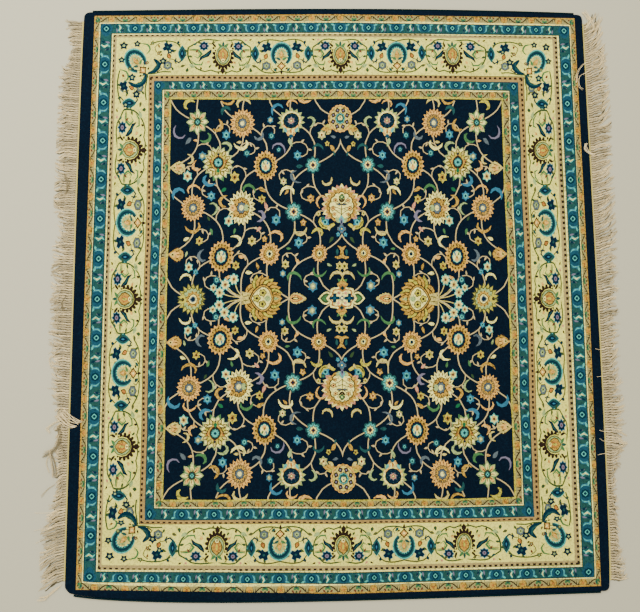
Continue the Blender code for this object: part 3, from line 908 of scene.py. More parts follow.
def drawMain():
    # (edge, nominal stretch, places of the brown palmettes, of the teal ones, reach of the last half cell)
    for edge, stretch, browns, teals, last in (("top", 1.0, (0, 55.7), (28,), 1.27),
                                               ("side", 1.26, (0, 69.7), (35.3,), 1.48)):
        cell = halfCell(stretch, stretch)
        for brown in browns:
            for direction in (1, -1):
                if brown == browns[-1] and direction == 1:
                    lay(edge, "main", [(d, o) for d,
                                       o in halfCell(last, stretch) if max(u for u, v in o) < 26], brown,
                                       18.9, last)
                elif brown or direction == 1:
                    lay(edge, "main", cell, brown, 18.9, stretch, direction)
            lay(edge, "main", brownPalmette(), brown, 18.9, stretch)
        for teal in teals:
            lay(edge, "main", tealPalmette(), teal, 18.9, stretch)
    # The corner: a teal palmette pointing outwards, with two dark leaves at its foot
    corner = tealPalmette()
    for dye, outline in corner:
        turned = moved([(u * 1.0, v - 10) for u, v in outline], 0, 0, -42)
        chart.append(("main", dye, [(97.2 + 0.94 * u, 112.6 + 1.08 * v) for u, v in turned]))
    for dye, width, line in (
            ("deep", 2.6, [(91.4, 106.8), (88.6, 107.6), (86.2, 110.8), (88.8, 113.8)]),
            ("teal", 1.0, [(90.2, 107.6), (87.2, 109.4), (86.8, 112.4)]),
            ("deep", 2.6, [(92.2, 106.2), (93.4, 102.6), (96.8, 100.8), (100.2, 102.8)]),
            ("teal", 1.0, [(92.6, 105.0), (94.8, 102.0), (98.2, 101.6)]),
            ("moss", 0.6, [(91.6, 106.4), (88.0, 106.6), (84.0, 107.4), (80.0, 107.2)]),
            ("moss", 0.6, [(91.6, 106.4), (91.8, 103.0), (92.4, 99.0), (92.0, 94.0)]),
            ("moss", 0.6, [(91.0, 121.0), (86.0, 122.6), (80.0, 122.4), (76.0, 120.6)]),
            ("leaf", 0.9, [(95.4, 121.6), (92.0, 121.0), (90.8, 118.4), (92.4, 116.4)]),
            ("leaf", 0.9, [(104.6, 108.4), (101.4, 107.4), (100.4, 104.6), (102.2, 102.6)]),
            ("olive", 0.4, [(86.0, 121.6), (88.4, 119.6), (87.4, 117.2)]),
            ("olive", 0.4, [(104.6, 100.0), (102.4, 97.6), (99.8, 98.4)]),
            ("moss", 0.6, [(104.4, 108.0), (105.2, 103.0), (104.8, 97.0), (103.6, 92.0)])):
        chart.append(("main", dye, ribbon(line, width, 0.3 if width > 0.6 else 1,
                                          0.3 if width > 0.6 else 1, 1.4)))
    for x, y, size, dye in ((103.0, 120.4, 2.3, "night"), (96.8, 121.4, 1.9, "night"),
                            (103.8, 113.2, 1.9, "night"), (98.6, 104.8, 2.0, "deep"),
                            (92.0, 112.0, 1.1, "rust"), (84.2, 112.6, 2.2, "night"),
                            (96.4, 96.6, 2.2, "night"), (81.0, 117.6, 1.7, "deep"),
                            (101.4, 91.4, 1.8, "deep"), (86.4, 116.6, 1.2, "rust"),
                            (99.8, 108.8, 1.2, "olive"), (89.6, 121.8, 1.3, "olive")):
        chart.append(("main", dye, moved(ring(size, 5, 0.4, 0.3), x, y)))
        chart.append(("main", "pale", moved(ring(size * 0.3), x, y)))


# How the woven rug differs from its chart: where each band's line falls on each side, in metres
woven = {
    "left": [-0.790, -0.829, -0.872, -0.898, -1.061, -1.085, -1.144, -1.175, -1.227],
    "right": [0.808, 0.847, 0.893, 0.920, 1.068, 1.101, 1.158, 1.187, 1.227],
    "bottom": [-0.9505, -0.9875, -1.0405, -1.0575, -1.2405, -1.2695, -1.3205, -1.3625, -1.3875],
    "top": [0.9365, 0.9825, 1.0285, 1.0575, 1.2515, 1.2715, 1.3255, 1.3675, 1.3895],
    "middle": (0.027, -0.0345),
    # Corners of the pile before its sides bow outwards
    "corners": {"topLeft": (-1.224, 1.3765), "topRight": (1.216, 1.3695),
                "bottomRight": (1.223, -1.3555), "bottomLeft": (-1.217, -1.3475)},
    # side: first corner, second corner, bow, share of the side where it peaks
    "sides": {"top": ("topRight", "topLeft", 0.018, 0.42), "left": ("topLeft", "bottomLeft", 0.006, 0.33),
              "bottom": ("bottomLeft", "bottomRight", 0.041, 0.29),
              "right": ("bottomRight", "topRight", 0.010, 0.30)},
    "bowFade": 4.0,
    "waves": 0.0022,
}


def sidePoint(side, share, offset=0.0):
    # A point on one side of the pile, moved outwards by offset
    first, second, bow, peak = woven["sides"][side]
    ax, ay = woven["corners"][first]
    bx, by = woven["corners"][second]
    length = math.hypot(bx - ax, by - ay)
    outX, outY = -(by - ay) / length, (bx - ax) / length
    if outX * ax + outY * ay < 0:
        outX, outY = -outX, -outY
    skew = math.log(0.5) / math.log(peak)
    out = offset + bow * math.sin(math.pi * min(max(share, 0), 1)**skew)
    return ax + (bx - ax) * share + outX * out, ay + (by - ay) * share + outY * out


def sideLine(side):
    # Many points on a side, as two arrays that rise along it
    shares = np.linspace(0, 1, 201)
    points = np.array([sidePoint(side, s) for s in shares])
    along = 0 if side in ("top", "bottom") else 1
    points = points[np.argsort(points[:, along])]
    return points[:, along], points[:, 1 - along]


def weave(x, y):
    # From places on the whole chart, in centimetres, to places on the rug
    across, along = chartFrame["across"], chartFrame["along"]
    midX, midY = woven["middle"]
    rugX = np.interp(x, [-v for v in across[::-1]] + [0] + across, woven["left"][::-1] + [midX]
                     + woven["right"])
    rugY = np.interp(y, [-v for v in along[::-1]] + [0] + along, woven["bottom"][::-1] + [midY]
                     + woven["top"])
    reachX, reachY = np.abs(x) / across[-1], np.abs(y) / along[-1]
    lines = {side: sideLine(side) for side in woven["sides"]}
    edgeX = np.where(x < 0, np.interp(rugY, *lines["left"]) - woven["left"][-1],
                     np.interp(rugY, *lines["right"]) - woven["right"][-1])
    edgeY = np.where(y < 0, np.interp(rugX, *lines["bottom"]) - woven["bottom"][-1],
                     np.interp(rugX, *lines["top"]) - woven["top"][-1])
    fade = 1 - np.maximum(reachX, reachY)**8
    size = woven["waves"] * fade
    waveX = size * (np.sin(5.1 * rugY + 1.3 * rugX + 0.4) + 0.6 * np.sin(13 * rugY - 3 * rugX + 1.1)
                    + 0.4 * np.sin(29 * rugY + 0.7))
    waveY = size * (np.sin(4.3 * rugX - 1.7 * rugY + 2.0) + 0.6 * np.sin(11 * rugX + 2 * rugY + 0.3)
                    + 0.4 * np.sin(31 * rugX + 1.9))
    power = woven["bowFade"]
    return rugX + edgeX * reachX**power + waveX, rugY + edgeY * reachY**power + waveY


def outline(inset):
    # The quarter's outer line with its rounded corner, inset from the edge
    x, y = chartFrame["across"][-1] - inset, chartFrame["along"][-1] - inset
    radius = chartFrame["cornerRadius"] - inset
    points = [(x, v) for v in np.arange(0, y - radius, chartFrame["grid"])]
    steps = chartFrame["cornerSteps"]
    for i in range(steps + 1):
        angle = math.pi / 2 * i / steps
        points.append((x - radius + radius * math.cos(angle), y - radius + radius * math.sin(angle)))
    return points + [(v, y) for v in np.arange(0, x - radius, chartFrame["grid"])[::-1]]


def frameEdges():
    # Points and edges that the quarter always has: its axes, band lines, rim and a coarse grid
    points, edges = [], []

    def addLine(line):
        start = len(points)
        points.extend(line)
        edges.extend((start + i, start + i + 1) for i in range(len(line) - 1))
    across, along = chartFrame["across"], chartFrame["along"]
    for x, y in zip(across[:-1], along[:-1]):
        addLine([(x, 0), (x, y), (0, y)])
    for inset in (0, chartFrame["shoulder"] / 2, chartFrame["shoulder"]):
        addLine(outline(inset))
    addLine([(0, 0), (across[-1], 0)])
    addLine([(0, 0), (0, along[-1])])
    step = chartFrame["grid"]
    for x in np.arange(step / 2, across[-1] - 1, step):
        for y in np.arange(step / 2, along[-1] - 1, step):
            if not (x > across[-1] - 3 and y > along[-1] - 3):
                points.append((x, y))
    return points, edges


def triangles(points, edges):
    # Constrained triangles of the quarter, as arrays of corners and of their middles
    found = delaunay_2d_cdt([Vector(p) for p in points], edges, [], 0, 0.002)
    places = np.array([tuple(v) for v in found[0]])
    faces = np.array(found[2])
    middles = places[faces].mean(1)
    x, y = middles[:, 0], middles[:, 1]
    spanX, spanY = chartFrame["across"][-1], chartFrame["along"][-1]
    radius = chartFrame["cornerRadius"]
    cornerX, cornerY = x - (spanX - radius), y - (spanY - radius)
    outside = (cornerX > 0) & (cornerY > 0) & (np.hypot(cornerX, cornerY) > radius * 0.9965)
    corners = places[faces]
    a, b, c = corners[:, 0], corners[:, 1], corners[:, 2]
    area = np.abs((b[:, 0] - a[:, 0]) * (c[:, 1] - a[:, 1]) - (c[:, 0] - a[:, 0]) * (b[:, 1] - a[:, 1]))
    kept = (x > 0) & (y > 0) & (x < spanX) & (y < spanY) & ~outside & (area > 1e-9)
    return places, faces[kept], middles[kept]


def dyeOf(middles):
    # Index of the dye at each place: the band's ground, then every outline over it
    x, y = middles[:, 0], middles[:, 1]
    band = np.maximum(np.searchsorted(chartFrame["across"][:-1], x),
                      np.searchsorted(chartFrame["along"][:-1], y))
    dye = np.array([dyeNames.index(g) for g in grounds])[band]
    order = np.argsort(x)
    sortedX = x[order]
    for bandName, dyeName, points in chart:
        shape = np.array(points)
        low, high = shape.min(0), shape.max(0)
        near = order[np.searchsorted(sortedX, low[0]):np.searchsorted(sortedX, high[0])]
        near = near[(y[near] > low[1]) & (y[near] < high[1]) & (band[near] == bands.index(bandName))]
        if not len(near):
            continue
        px, py = x[near][:, None], y[near][:, None]
        x1, y1 = shape[:, 0], shape[:, 1]
        x2, y2 = np.roll(x1, -1), np.roll(y1, -1)
        rise = np.where(y2 == y1, 1e-12, y2 - y1)
        crossing = ((y1 > py) != (y2 > py)) & (px < (x2 - x1) * (py - y1) / rise + x1)
        dye[near[crossing.sum(1) % 2 == 1]] = dyeNames.index(dyeName)
    return dye


def chartMesh():
    # The quarter's triangles and dyes, in two passes: the second leaves out outlines that others hide
    fixedPoints, fixedEdges = frameEdges()
    points, edges = list(fixedPoints), list(fixedEdges)
    for _, _, shape in chart:
        start, count = len(points), len(shape)
        points.extend(shape)
        edges.extend((start + i, start + (i + 1) % count) for i in range(count))
    places, faces, middles = triangles(points, edges)
    dye = dyeOf(middles)
    print("chart, first pass:", len(faces), "triangles")
    sides = np.sort(np.concatenate([faces[:, [0, 1]], faces[:, [1, 2]], faces[:, [2, 0]]]), axis=1)
    owner = np.tile(np.arange(len(faces)), 3)
    order = np.lexsort((sides[:, 1], sides[:, 0]))
    sides, owner = sides[order], owner[order]
    twin = (sides[1:] == sides[:-1]).all(1)
    border = sides[:-1][twin & (dye[owner[1:]] != dye[owner[:-1]])]
    used, slots = np.unique(border, return_inverse=True)
    start = len(fixedPoints)
    points = fixedPoints + [tuple(p) for p in places[used]]
    edges = fixedEdges + [(start + int(a), start + int(b)) for a, b in slots.reshape(-1, 2)]
    places, faces, middles = triangles(points, edges)
    print("chart, second pass:", len(faces), "triangles")
    return places, faces, dyeOf(middles)


pile = {
    "thickness": 0.010,
    "rimHeight": 0.0072,
    "ripple": 0.0006,
}


def colourLayer(mesh, name, colours, strength=None):
    # Stores one colour a face on its corners, with a strength as its alpha
    layer = mesh.color_attributes.new(name, "FLOAT_COLOR", "CORNER")
    counts = np.zeros(len(mesh.polygons), np.int32)
    mesh.polygons.foreach_get("loop_total", counts)
    full = np.ones((len(mesh.loops), 4), np.float32)
    full[:, :3] = np.repeat(colours, counts, axis=0)
    if strength is not None:
        full[:, 3] = np.repeat(strength, counts)
    layer.data.foreach_set("color", full.ravel())
    return layer


def pileSheet():
    places, faces, dye = chartMesh()
    bm = bmesh.new()
    tone = bm.faces.layers.int.new("dyeIndex")
    verts = [bm.verts.new((x, y, 0)) for x, y in places]
    for corners, index in zip(faces.tolist(), dye.tolist()):
        face = bm.faces.new([verts[i] for i in corners])
        face[tone] = index
    bmesh.ops.delete(bm, geom=[v for v in bm.verts if not v.link_faces], context="VERTS")
    for axis in ("X", "Y"):
        bmesh.ops.mirror(bm, geom=bm.verts[:] + bm.edges[:] + bm.faces[:], merge_dist=0.0005, axis=axis)
    rim = [e for e in bm.edges if e.is_boundary]
    side = bmesh.ops.extrude_edge_only(bm, edges=rim)["geom"]
    lower = [item for item in side if isinstance(item, bmesh.types.BMVert)]
    for vert in lower:
        vert.co.z = -1
    under = bmesh.ops.contextual_create(bm,
                                        geom=[e for e in side if isinstance(e,
                                            bmesh.types.BMEdge) and e.is_boundary])
    for face in under["faces"]:
        face[tone] = 0
    bmesh.ops.recalc_face_normals(bm, faces=bm.faces)
    mesh = bpy.data.meshes.new("pile")
    bm.to_mesh(mesh)
    bm.free()
    print("pile:", len(mesh.polygons), "faces")

    place = np.zeros(len(mesh.vertices) * 3)
    mesh.vertices.foreach_get("co", place)
    place = place.reshape(-1, 3)
    x, y, mark = place.T
    rugX, rugY = weave(x, y)
    spanX, spanY = chartFrame["across"][-1], chartFrame["along"][-1]
    radius = chartFrame["cornerRadius"]
    cornerX, cornerY = np.abs(x) - (spanX - radius), np.abs(y) - (spanY - radius)
    inRound = (cornerX > 0) & (cornerY > 0)
    depth = np.where(inRound, radius - np.hypot(cornerX, cornerY),
                     np.minimum(spanX - np.abs(x), spanY - np.abs(y)))
    share = np.clip(depth / chartFrame["shoulder"], 0, 1)
    top = pile["thickness"] - (pile["thickness"] - pile["rimHeight"]) * (1 - share)**2
    ripple = pile["ripple"] * share * (np.sin(7 * rugX + 2 * rugY) * np.sin(5 * rugY - 1.5 * rugX) - 1)
    height = np.where(mark < -0.5, 0.0, top + ripple)
    mesh.vertices.foreach_set("co", np.column_stack([rugX, rugY, height]).ravel())

    indices = np.zeros(len(mesh.polygons), np.int32)
    mesh.attributes["dyeIndex"].data.foreach_get("value", indices)
    palette = np.array([dyes[name] for name in dyeNames])
    partners = [flecks.get(name, (name, 0)) for name in dyeNames]
    colourLayer(mesh, "dye", palette[indices])
    colourLayer(mesh, "fleck", np.array([dyes[name] for name, _ in partners])[indices],
                np.array([amount for _, amount in partners])[indices])
    # A map laid out flat for the top, with the rim and the underside on a strip beside it
    uv = mesh.uv_layers.new(name="OFBake")
    corner = np.zeros(len(mesh.loops), np.int32)
    mesh.loops.foreach_get("vertex_index", corner)
    normal = np.zeros(len(mesh.polygons) * 3)
    mesh.polygons.foreach_get("normal", normal)
    counts = np.zeros(len(mesh.polygons), np.int32)
    mesh.polygons.foreach_get("loop_total", counts)
    beside = np.repeat(normal.reshape(-1, 3)[:, 2] < 0.3, counts)
    cx, cy, low = rugX[corner], rugY[corner], mark[corner] < -0.5
    u = np.where(beside, 0.9 + (cx + 1.3) / 2.6 * 0.08 + 0.004 * low, (cx + 1.25) / 2.84)
    v = np.where(beside, 0.01 + (cy + 1.42) / 2.84 * 0.97 + 0.004 * low, (cy + 1.41) / 2.84)
    uv.data.foreach_set("uv", np.column_stack([u, v]).ravel())
    made = bpy.data.objects.new("pile", mesh)
    bpy.context.scene.collection.objects.link(made)
    return made


def socket(group, name, kind, direction="INPUT"):
    return group.interface.new_socket(name=name, in_out=direction, socket_type="NodeSocket" + kind)


def yarnGroup():
    # Shared by every yarn: uneven tone over a plain colour, and a height for bumps
    group = bpy.data.node_groups.new("yarnTone", "ShaderNodeTree")
    socket(group, "Colour", "Color")
    socket(group, "Scale", "Float")
    socket(group, "Amount", "Float")
    socket(group, "Colour", "Color", "OUTPUT")
    socket(group, "Height", "Float", "OUTPUT")
    nodes, links = group.nodes, group.links
    entry = nodes.new("NodeGroupInput")
    leave = nodes.new("NodeGroupOutput")
    coords = nodes.new("ShaderNodeTexCoord")
    fibre = nodes.new("ShaderNodeTexNoise")
    fibre.inputs["Detail"].default_value = 2
    fibre.inputs["Roughness"].default_value = 0.6
    links.new(coords.outputs["Object"], fibre.inputs["Vector"])
    links.new(entry.outputs["Scale"], fibre.inputs["Scale"])
    patch = nodes.new("ShaderNodeTexNoise")
    patch.inputs["Scale"].default_value = 5.0
    patch.inputs["Detail"].default_value = 3
    links.new(coords.outputs["Object"], patch.inputs["Vector"])
    both = nodes.new("ShaderNodeMath")
    both.operation = "MULTIPLY_ADD"
    both.inputs[1].default_value = 0.5
    links.new(patch.outputs["Fac"], both.inputs[0])
    links.new(fibre.outputs["Fac"], both.inputs[2])
    centred = nodes.new("ShaderNodeMath")
    centred.operation = "SUBTRACT"
    centred.inputs[1].default_value = 0.75
    links.new(both.outputs[0], centred.inputs[0])
    tone = nodes.new("ShaderNodeMath")
    tone.operation = "MULTIPLY_ADD"
    tone.inputs[2].default_value = 1.0
    links.new(centred.outputs[0], tone.inputs[0])
    links.new(entry.outputs["Amount"], tone.inputs[1])
    scaled = nodes.new("ShaderNodeVectorMath")
    scaled.operation = "SCALE"
    links.new(entry.outputs["Colour"], scaled.inputs[0])
    links.new(tone.outputs[0], scaled.inputs["Scale"])
    links.new(scaled.outputs["Vector"], leave.inputs["Colour"])
    links.new(fibre.outputs["Fac"], leave.inputs["Height"])
    return group


def drawingGroup():
    # Mask of thin broken lines, the fine drawing inside the motifs
    group = bpy.data.node_groups.new("fineDrawing", "ShaderNodeTree")
    socket(group, "Scale", "Float")
    socket(group, "Width", "Float")
    socket(group, "Mask", "Float", "OUTPUT")
    nodes, links = group.nodes, group.links
    entry = nodes.new("NodeGroupInput")
    leave = nodes.new("NodeGroupOutput")
    coords = nodes.new("ShaderNodeTexCoord")
    drift = nodes.new("ShaderNodeTexNoise")
    drift.noise_dimensions = "2D"
    drift.inputs["Scale"].default_value = 42
    drift.inputs["Detail"].default_value = 1
    links.new(coords.outputs["Object"], drift.inputs["Vector"])
    bent = nodes.new("ShaderNodeVectorMath")
    bent.operation = "MULTIPLY_ADD"
    bent.inputs[1].default_value = (0.03, 0.03, 0)
    links.new(drift.outputs["Color"], bent.inputs[0])
    links.new(coords.outputs["Object"], bent.inputs[2])
    cells = nodes.new("ShaderNodeTexVoronoi")
    cells.voronoi_dimensions = "2D"
    cells.feature = "DISTANCE_TO_EDGE"
    links.new(bent.outputs[0], cells.inputs["Vector"])
    links.new(entry.outputs["Scale"], cells.inputs["Scale"])
    line = nodes.new("ShaderNodeMapRange")
    line.inputs["From Min"].default_value = 0.02
    line.inputs["To Min"].default_value = 1
    line.inputs["To Max"].default_value = 0
    links.new(cells.outputs["Distance"], line.inputs["Value"])
    links.new(entry.outputs["Width"], line.inputs["From Max"])
    gaps = nodes.new("ShaderNodeTexNoise")
    gaps.noise_dimensions = "2D"
    gaps.inputs["Scale"].default_value = 70
    gaps.inputs["Detail"].default_value = 1
    links.new(coords.outputs["Object"], gaps.inputs["Vector"])
    broken = nodes.new("ShaderNodeMapRange")
    broken.inputs["From Min"].default_value = 0.38
    broken.inputs["From Max"].default_value = 0.48
    links.new(gaps.outputs["Fac"], broken.inputs["Value"])
    both = nodes.new("ShaderNodeMath")
    both.operation = "MULTIPLY"
    links.new(line.outputs["Result"], both.inputs[0])
    links.new(broken.outputs["Result"], both.inputs[1])
    links.new(both.outputs[0], leave.inputs["Mask"])
    return group


def yarnMaterial(name, group, colour=None, attribute=None, scale=400.0, amount=0.8, bump=0.3,
                 distance=0.001,
                 roughness=0.95, sheen=0.0, specular=0.02, drawing=None):
    made = bpy.data.materials.new(name)
    made.use_nodes = True
    nodes, links = made.node_tree.nodes, made.node_tree.links
    shader = nodes["Principled BSDF"]
    shader.inputs["Roughness"].default_value = roughness
    shader.inputs["Specular IOR Level"].default_value = specular
    shader.inputs["Sheen Weight"].default_value = sheen
    shader.inputs["Sheen Roughness"].default_value = 0.6
    yarn = nodes.new("ShaderNodeGroup")
    yarn.node_tree = group
    yarn.inputs["Scale"].default_value = scale
    yarn.inputs["Amount"].default_value = amount
    if attribute:
        source = nodes.new("ShaderNodeVertexColor")
        source.layer_name = attribute
        links.new(source.outputs["Color"], yarn.inputs["Colour"])
    if drawing:
        partner = nodes.new("ShaderNodeVertexColor")
        partner.layer_name = "fleck"
        lines = nodes.new("ShaderNodeGroup")
        lines.node_tree = drawing
        lines.inputs["Scale"].default_value = 62
        lines.inputs["Width"].default_value = 0.17
        share = nodes.new("ShaderNodeMath")
        share.operation = "MULTIPLY"
        links.new(lines.outputs["Mask"], share.inputs[0])
        links.new(partner.outputs["Alpha"], share.inputs[1])
        drawn = nodes.new("ShaderNodeMix")
        drawn.data_type = "RGBA"
        links.new(share.outputs[0], drawn.inputs["Factor"])
        links.new(source.outputs["Color"], drawn.inputs["A"])
        links.new(partner.outputs["Color"], drawn.inputs["B"])
        links.new(drawn.outputs["Result"], yarn.inputs["Colour"])
    if colour:
        yarn.inputs["Colour"].default_value = (*colour, 1)
    links.new(yarn.outputs["Colour"], shader.inputs["Base Color"])
    lift = nodes.new("ShaderNodeBump")
    lift.inputs["Strength"].default_value = bump
    lift.inputs["Distance"].default_value = distance
    links.new(yarn.outputs["Height"], lift.inputs["Height"])
    links.new(lift.outputs["Normal"], shader.inputs["Normal"])
    return made


def meshObject(name, verts, faces, material):
    mesh = bpy.data.meshes.new(name)
    mesh.from_pydata(verts, [], faces)
    mesh.update()
    mesh.materials.append(material)
    made = bpy.data.objects.new(name, mesh)
    bpy.context.scene.collection.objects.link(made)
    return made


selvedge = {
    "radius": 0.0045,
    "gap": 0.0003,
    "wrap": 0.0030,
    "groove": 0.0006,
    "sides": 8,
    "cornerShare": 0.0165,
}


def wrappedCord(side, material):
    # A selvedge cord with the ridges of its wrapping
    start = selvedge["cornerShare"]
    length = math.dist(sidePoint(side, start), sidePoint(side, 1 - start))
    rings = int(length / selvedge["wrap"] * 2)
    count = selvedge["sides"]
    verts, faces = [], []
    for i in range(rings + 1):
        share = start + (1 - 2 * start) * i / rings
        x, y = sidePoint(side, share, selvedge["radius"] + selvedge["gap"])
        radius = selvedge["radius"] - (selvedge["groove"] if i % 2 else 0)
        for j in range(count):
            angle = 2 * math.pi * j / count
            verts.append((x, y + radius * math.cos(angle), selvedge["radius"] + radius * math.sin(angle)))
    for i in range(rings):
        for j in range(count):
            a, b = i * count + j, i * count + (j + 1) % count
            faces.append((a, b, b + count, a + count))
    faces.append(tuple(range(count))[::-1])
    faces.append(tuple(rings * count + j for j in range(count)))
    made = meshObject("selvedge_wrap_" + side, verts, faces, material)
    fixNormals(made)
    return made


def fixNormals(made):
    bm = bmesh.new()
    bm.from_mesh(made.data)
    bmesh.ops.recalc_face_normals(bm, faces=bm.faces)
    bm.to_mesh(made.data)
    bm.free()


kilim = {
    "width": 0.008,
    "thickness": 0.004,
    "pick": 0.0030,
    "relief": 0.0005,
}


def kilimBand(side, material):
    # Flat weave between the pile and the fringe
    start = selvedge["cornerShare"]
    length = math.dist(sidePoint(side, start), sidePoint(side, 1 - start))
    rows, columns = int(length / kilim["pick"]), 5
    verts, faces = [], []
    for i in range(rows + 1):
        share = start + (1 - 2 * start) * i / rows
        for j in range(columns + 1):
            x, y = sidePoint(side, share, selvedge["gap"] + kilim["width"] * j / columns)
            verts.append((x, y, kilim["thickness"] - kilim["relief"] * ((i + j) % 2)))
    for i in range(rows):
        for j in range(columns):
            a = i * (columns + 1) + j
            faces.append((a, a + 1, a + columns + 2, a + columns + 1))
    made = meshObject("kilim_weave_" + side, verts, faces, material)
    bm = bmesh.new()
    bm.from_mesh(made.data)
    side = bmesh.ops.extrude_edge_only(bm, edges=[e for e in bm.edges if e.is_boundary])["geom"]
    for item in side:
        if isinstance(item, bmesh.types.BMVert):
            item.co.z = 0
    bmesh.ops.contextual_create(bm, geom=[e for e in side if isinstance(e,
        bmesh.types.BMEdge) and e.is_boundary])
    bmesh.ops.recalc_face_normals(bm, faces=bm.faces)
    bm.to_mesh(made.data)
    bm.free()
    return made


fringe = {
    "tassels": 230,
    "strands": 5,
    "steps": 13,
    "strandWidth": 0.0018,
    "comb": 0.0086,
    "reach": 1.3475,
    "curl": 0.006,
    "colour": (0.84, 0.67, 0.35),
    # side: (share from the top corner down, length, sideways lean up)
    "lay": {
        "left": ((0.00, 0.088, 0.01), (0.07, 0.050, 0.00), (0.12, 0.098, 0.01), (0.35, 0.112, 0.00),
                 (0.39, 0.060, 0.00),
                 (0.43, 0.098, 0.00), (0.58, 0.105, 0.01), (0.72, 0.060, 0.01), (0.84, 0.050, -0.02),
                 (0.90, 0.112, -0.04),
                 (1.00, 0.100, -0.05)),
        "right": ((0.00, 0.060, 0.07), (0.05, 0.085, 0.06), (0.14, 0.110, 0.05), (0.24, 0.100, 0.03),
                  (0.40, 0.098, 0.04),
                  (0.62, 0.072, 0.02), (0.76, 0.098, -0.01), (0.82, 0.034, 0.00), (0.93, 0.045, 0.00),
                  (1.00, 0.085, -0.01)),
    },
    # Loose ends that lie out of line: (side, strands, tone, width, height, points)
    "strays": (
        ("left", 16, 0.95, 0.0021, 0.012,
         ((-1.266, -0.560), (-1.243, -0.584), (-1.215, -0.602), (-1.184, -0.612))),
        ("left", 4, 0.95, 0.0018, 0.006,
         ((-1.262, -0.590), (-1.306, -0.610), (-1.325, -0.632), (-1.310, -0.648))),
        ("left", 3, 0.9, 0.0018, 0.005, ((-1.300, -0.290), (-1.328, -0.312), (-1.322, -0.340),
                                         (-1.300, -0.334))),
        ("left", 6, 0.26, 0.0022, 0.005,
         ((-1.274, -0.620), (-1.267, -0.686), (-1.295, -0.733), (-1.338, -0.757))),
        ("left", 3, 0.6, 0.0020, 0.007, ((-1.270, -0.660), (-1.284, -0.700), (-1.302, -0.722),
                                         (-1.336, -0.742))),
        ("left", 5, 0.3, 0.0022, 0.005, ((-1.305, -0.745), (-1.288, -0.794), (-1.278, -0.841))),
        ("left", 3, 0.7, 0.0020, 0.006, ((-1.310, -0.735), (-1.302, -0.790), (-1.290, -0.850))),
        ("left", 3, 0.34, 0.0022, 0.007, ((-1.262, -0.700), (-1.248, -0.730), (-1.232, -0.765))),
        ("left", 2, 0.8, 0.0018, 0.005, ((-1.300, -0.720), (-1.320, -0.780), (-1.310, -0.830))),
        ("left", 3, 0.2, 0.0020, 0.005, ((-1.262, -0.020), (-1.280, -0.050), (-1.268, -0.090))),
        ("left", 4, 0.26, 0.0022, 0.005, ((-1.290, 0.560), (-1.272, 0.520), (-1.278, 0.470))),
        ("left", 2, 0.6, 0.0017, 0.004, ((-1.280, -0.880), (-1.315, -0.905), (-1.340, -0.935))),
        ("left", 1, 1.0, 0.0014, 0.003, ((-1.245, -1.000), (-1.320, -1.010), (-1.372, -1.004))),
        ("left", 1, 0.9, 0.0014, 0.003, ((-1.245, -1.060), (-1.310, -1.066), (-1.366, -1.080))),
        ("left", 1, 1.0, 0.0014, 0.003, ((-1.245, -1.118), (-1.312, -1.124), (-1.360, -1.140))),
        ("left", 8, 0.9, 0.0019, 0.005, ((-1.240, -1.325), (-1.275, -1.350), (-1.300, -1.372),
                                         (-1.330, -1.376))),
        ("right", 7, 1.0, 0.0019, 0.006, ((1.236, 1.300), (1.252, 1.335), (1.246, 1.368), (1.222, 1.386))),
        ("right", 5, 0.9, 0.0019, 0.005, ((1.240, 1.265), (1.272, 1.300), (1.262, 1.345), (1.240, 1.362))),
        ("right", 4, 1.0, 0.0019, 0.006,
         ((1.240, 1.170), (1.285, 1.178), (1.306, 1.140), (1.286, 1.104), (1.246, 1.112))),
        ("right", 2, 1.35, 0.0012, 0.012, ((1.246, 1.130), (1.215, 1.118), (1.182, 1.080), (1.176, 1.020))),
        ("right", 2, 1.35, 0.0012, 0.012,
         ((1.246, 1.090), (1.222, 1.075), (1.190, 1.050), (1.186, 1.000), (1.205, 0.985))),
        ("right", 5, 1.0, 0.0019, 0.012, ((1.246, 0.660), (1.220, 0.668), (1.202, 0.690), (1.208, 0.715))),
        ("right", 1, 1.35, 0.0011, 0.0115, ((1.250, -0.272), (1.225, -0.276), (1.204, -0.270))),
        ("right", 1, 1.35, 0.0011, 0.0115, ((1.250, -0.400), (1.228, -0.396), (1.206, -0.402))),
        ("right", 1, 1.35, 0.0011, 0.0115, ((1.250, -0.650), (1.224, -0.645), (1.202, -0.648))),
        ("right", 1, 1.35, 0.0011, 0.0115, ((1.250, -0.684), (1.226, -0.688), (1.204, -0.683))),
        ("right", 1, 1.35, 0.0011, 0.0115, ((1.250, -0.756), (1.224, -0.752), (1.200, -0.757))),
    ),
}


def layAt(side, share):
    rows = fringe["lay"][side]
    shares = [r[0] for r in rows]
    return np.interp(share, shares, [r[1] for r in rows]), np.interp(share, shares, [r[2] for r in rows])


def strand(verts, faces, path, width):
    # A four-sided yarn along a path
    start = len(verts)
    last = len(path) - 1
    for i, (x, y, z) in enumerate(path):
        before, after = path[max(i - 1, 0)], path[min(i + 1, last)]
        run = math.dist(before[:2], after[:2]) or 1
        outX, outY = -(after[1] - before[1]) / run, (after[0] - before[0]) / run
        half = width / 2 * (0.55 if i == last else 1)
        verts += [(x + outX * half, y + outY * half, z), (x, y, z + half),
                  (x - outX * half, y - outY * half, z), (x, y, max(z - half, 0))]
    for i in range(last):
        for j in range(4):
            a, b = start + 4 * i + j, start + 4 * i + (j + 1) % 4
            faces.append((a, b, b + 4, a + 4))
    faces.append((start + 3, start + 2, start + 1, start))
    faces.append(tuple(start + 4 * last + j for j in range(4)))


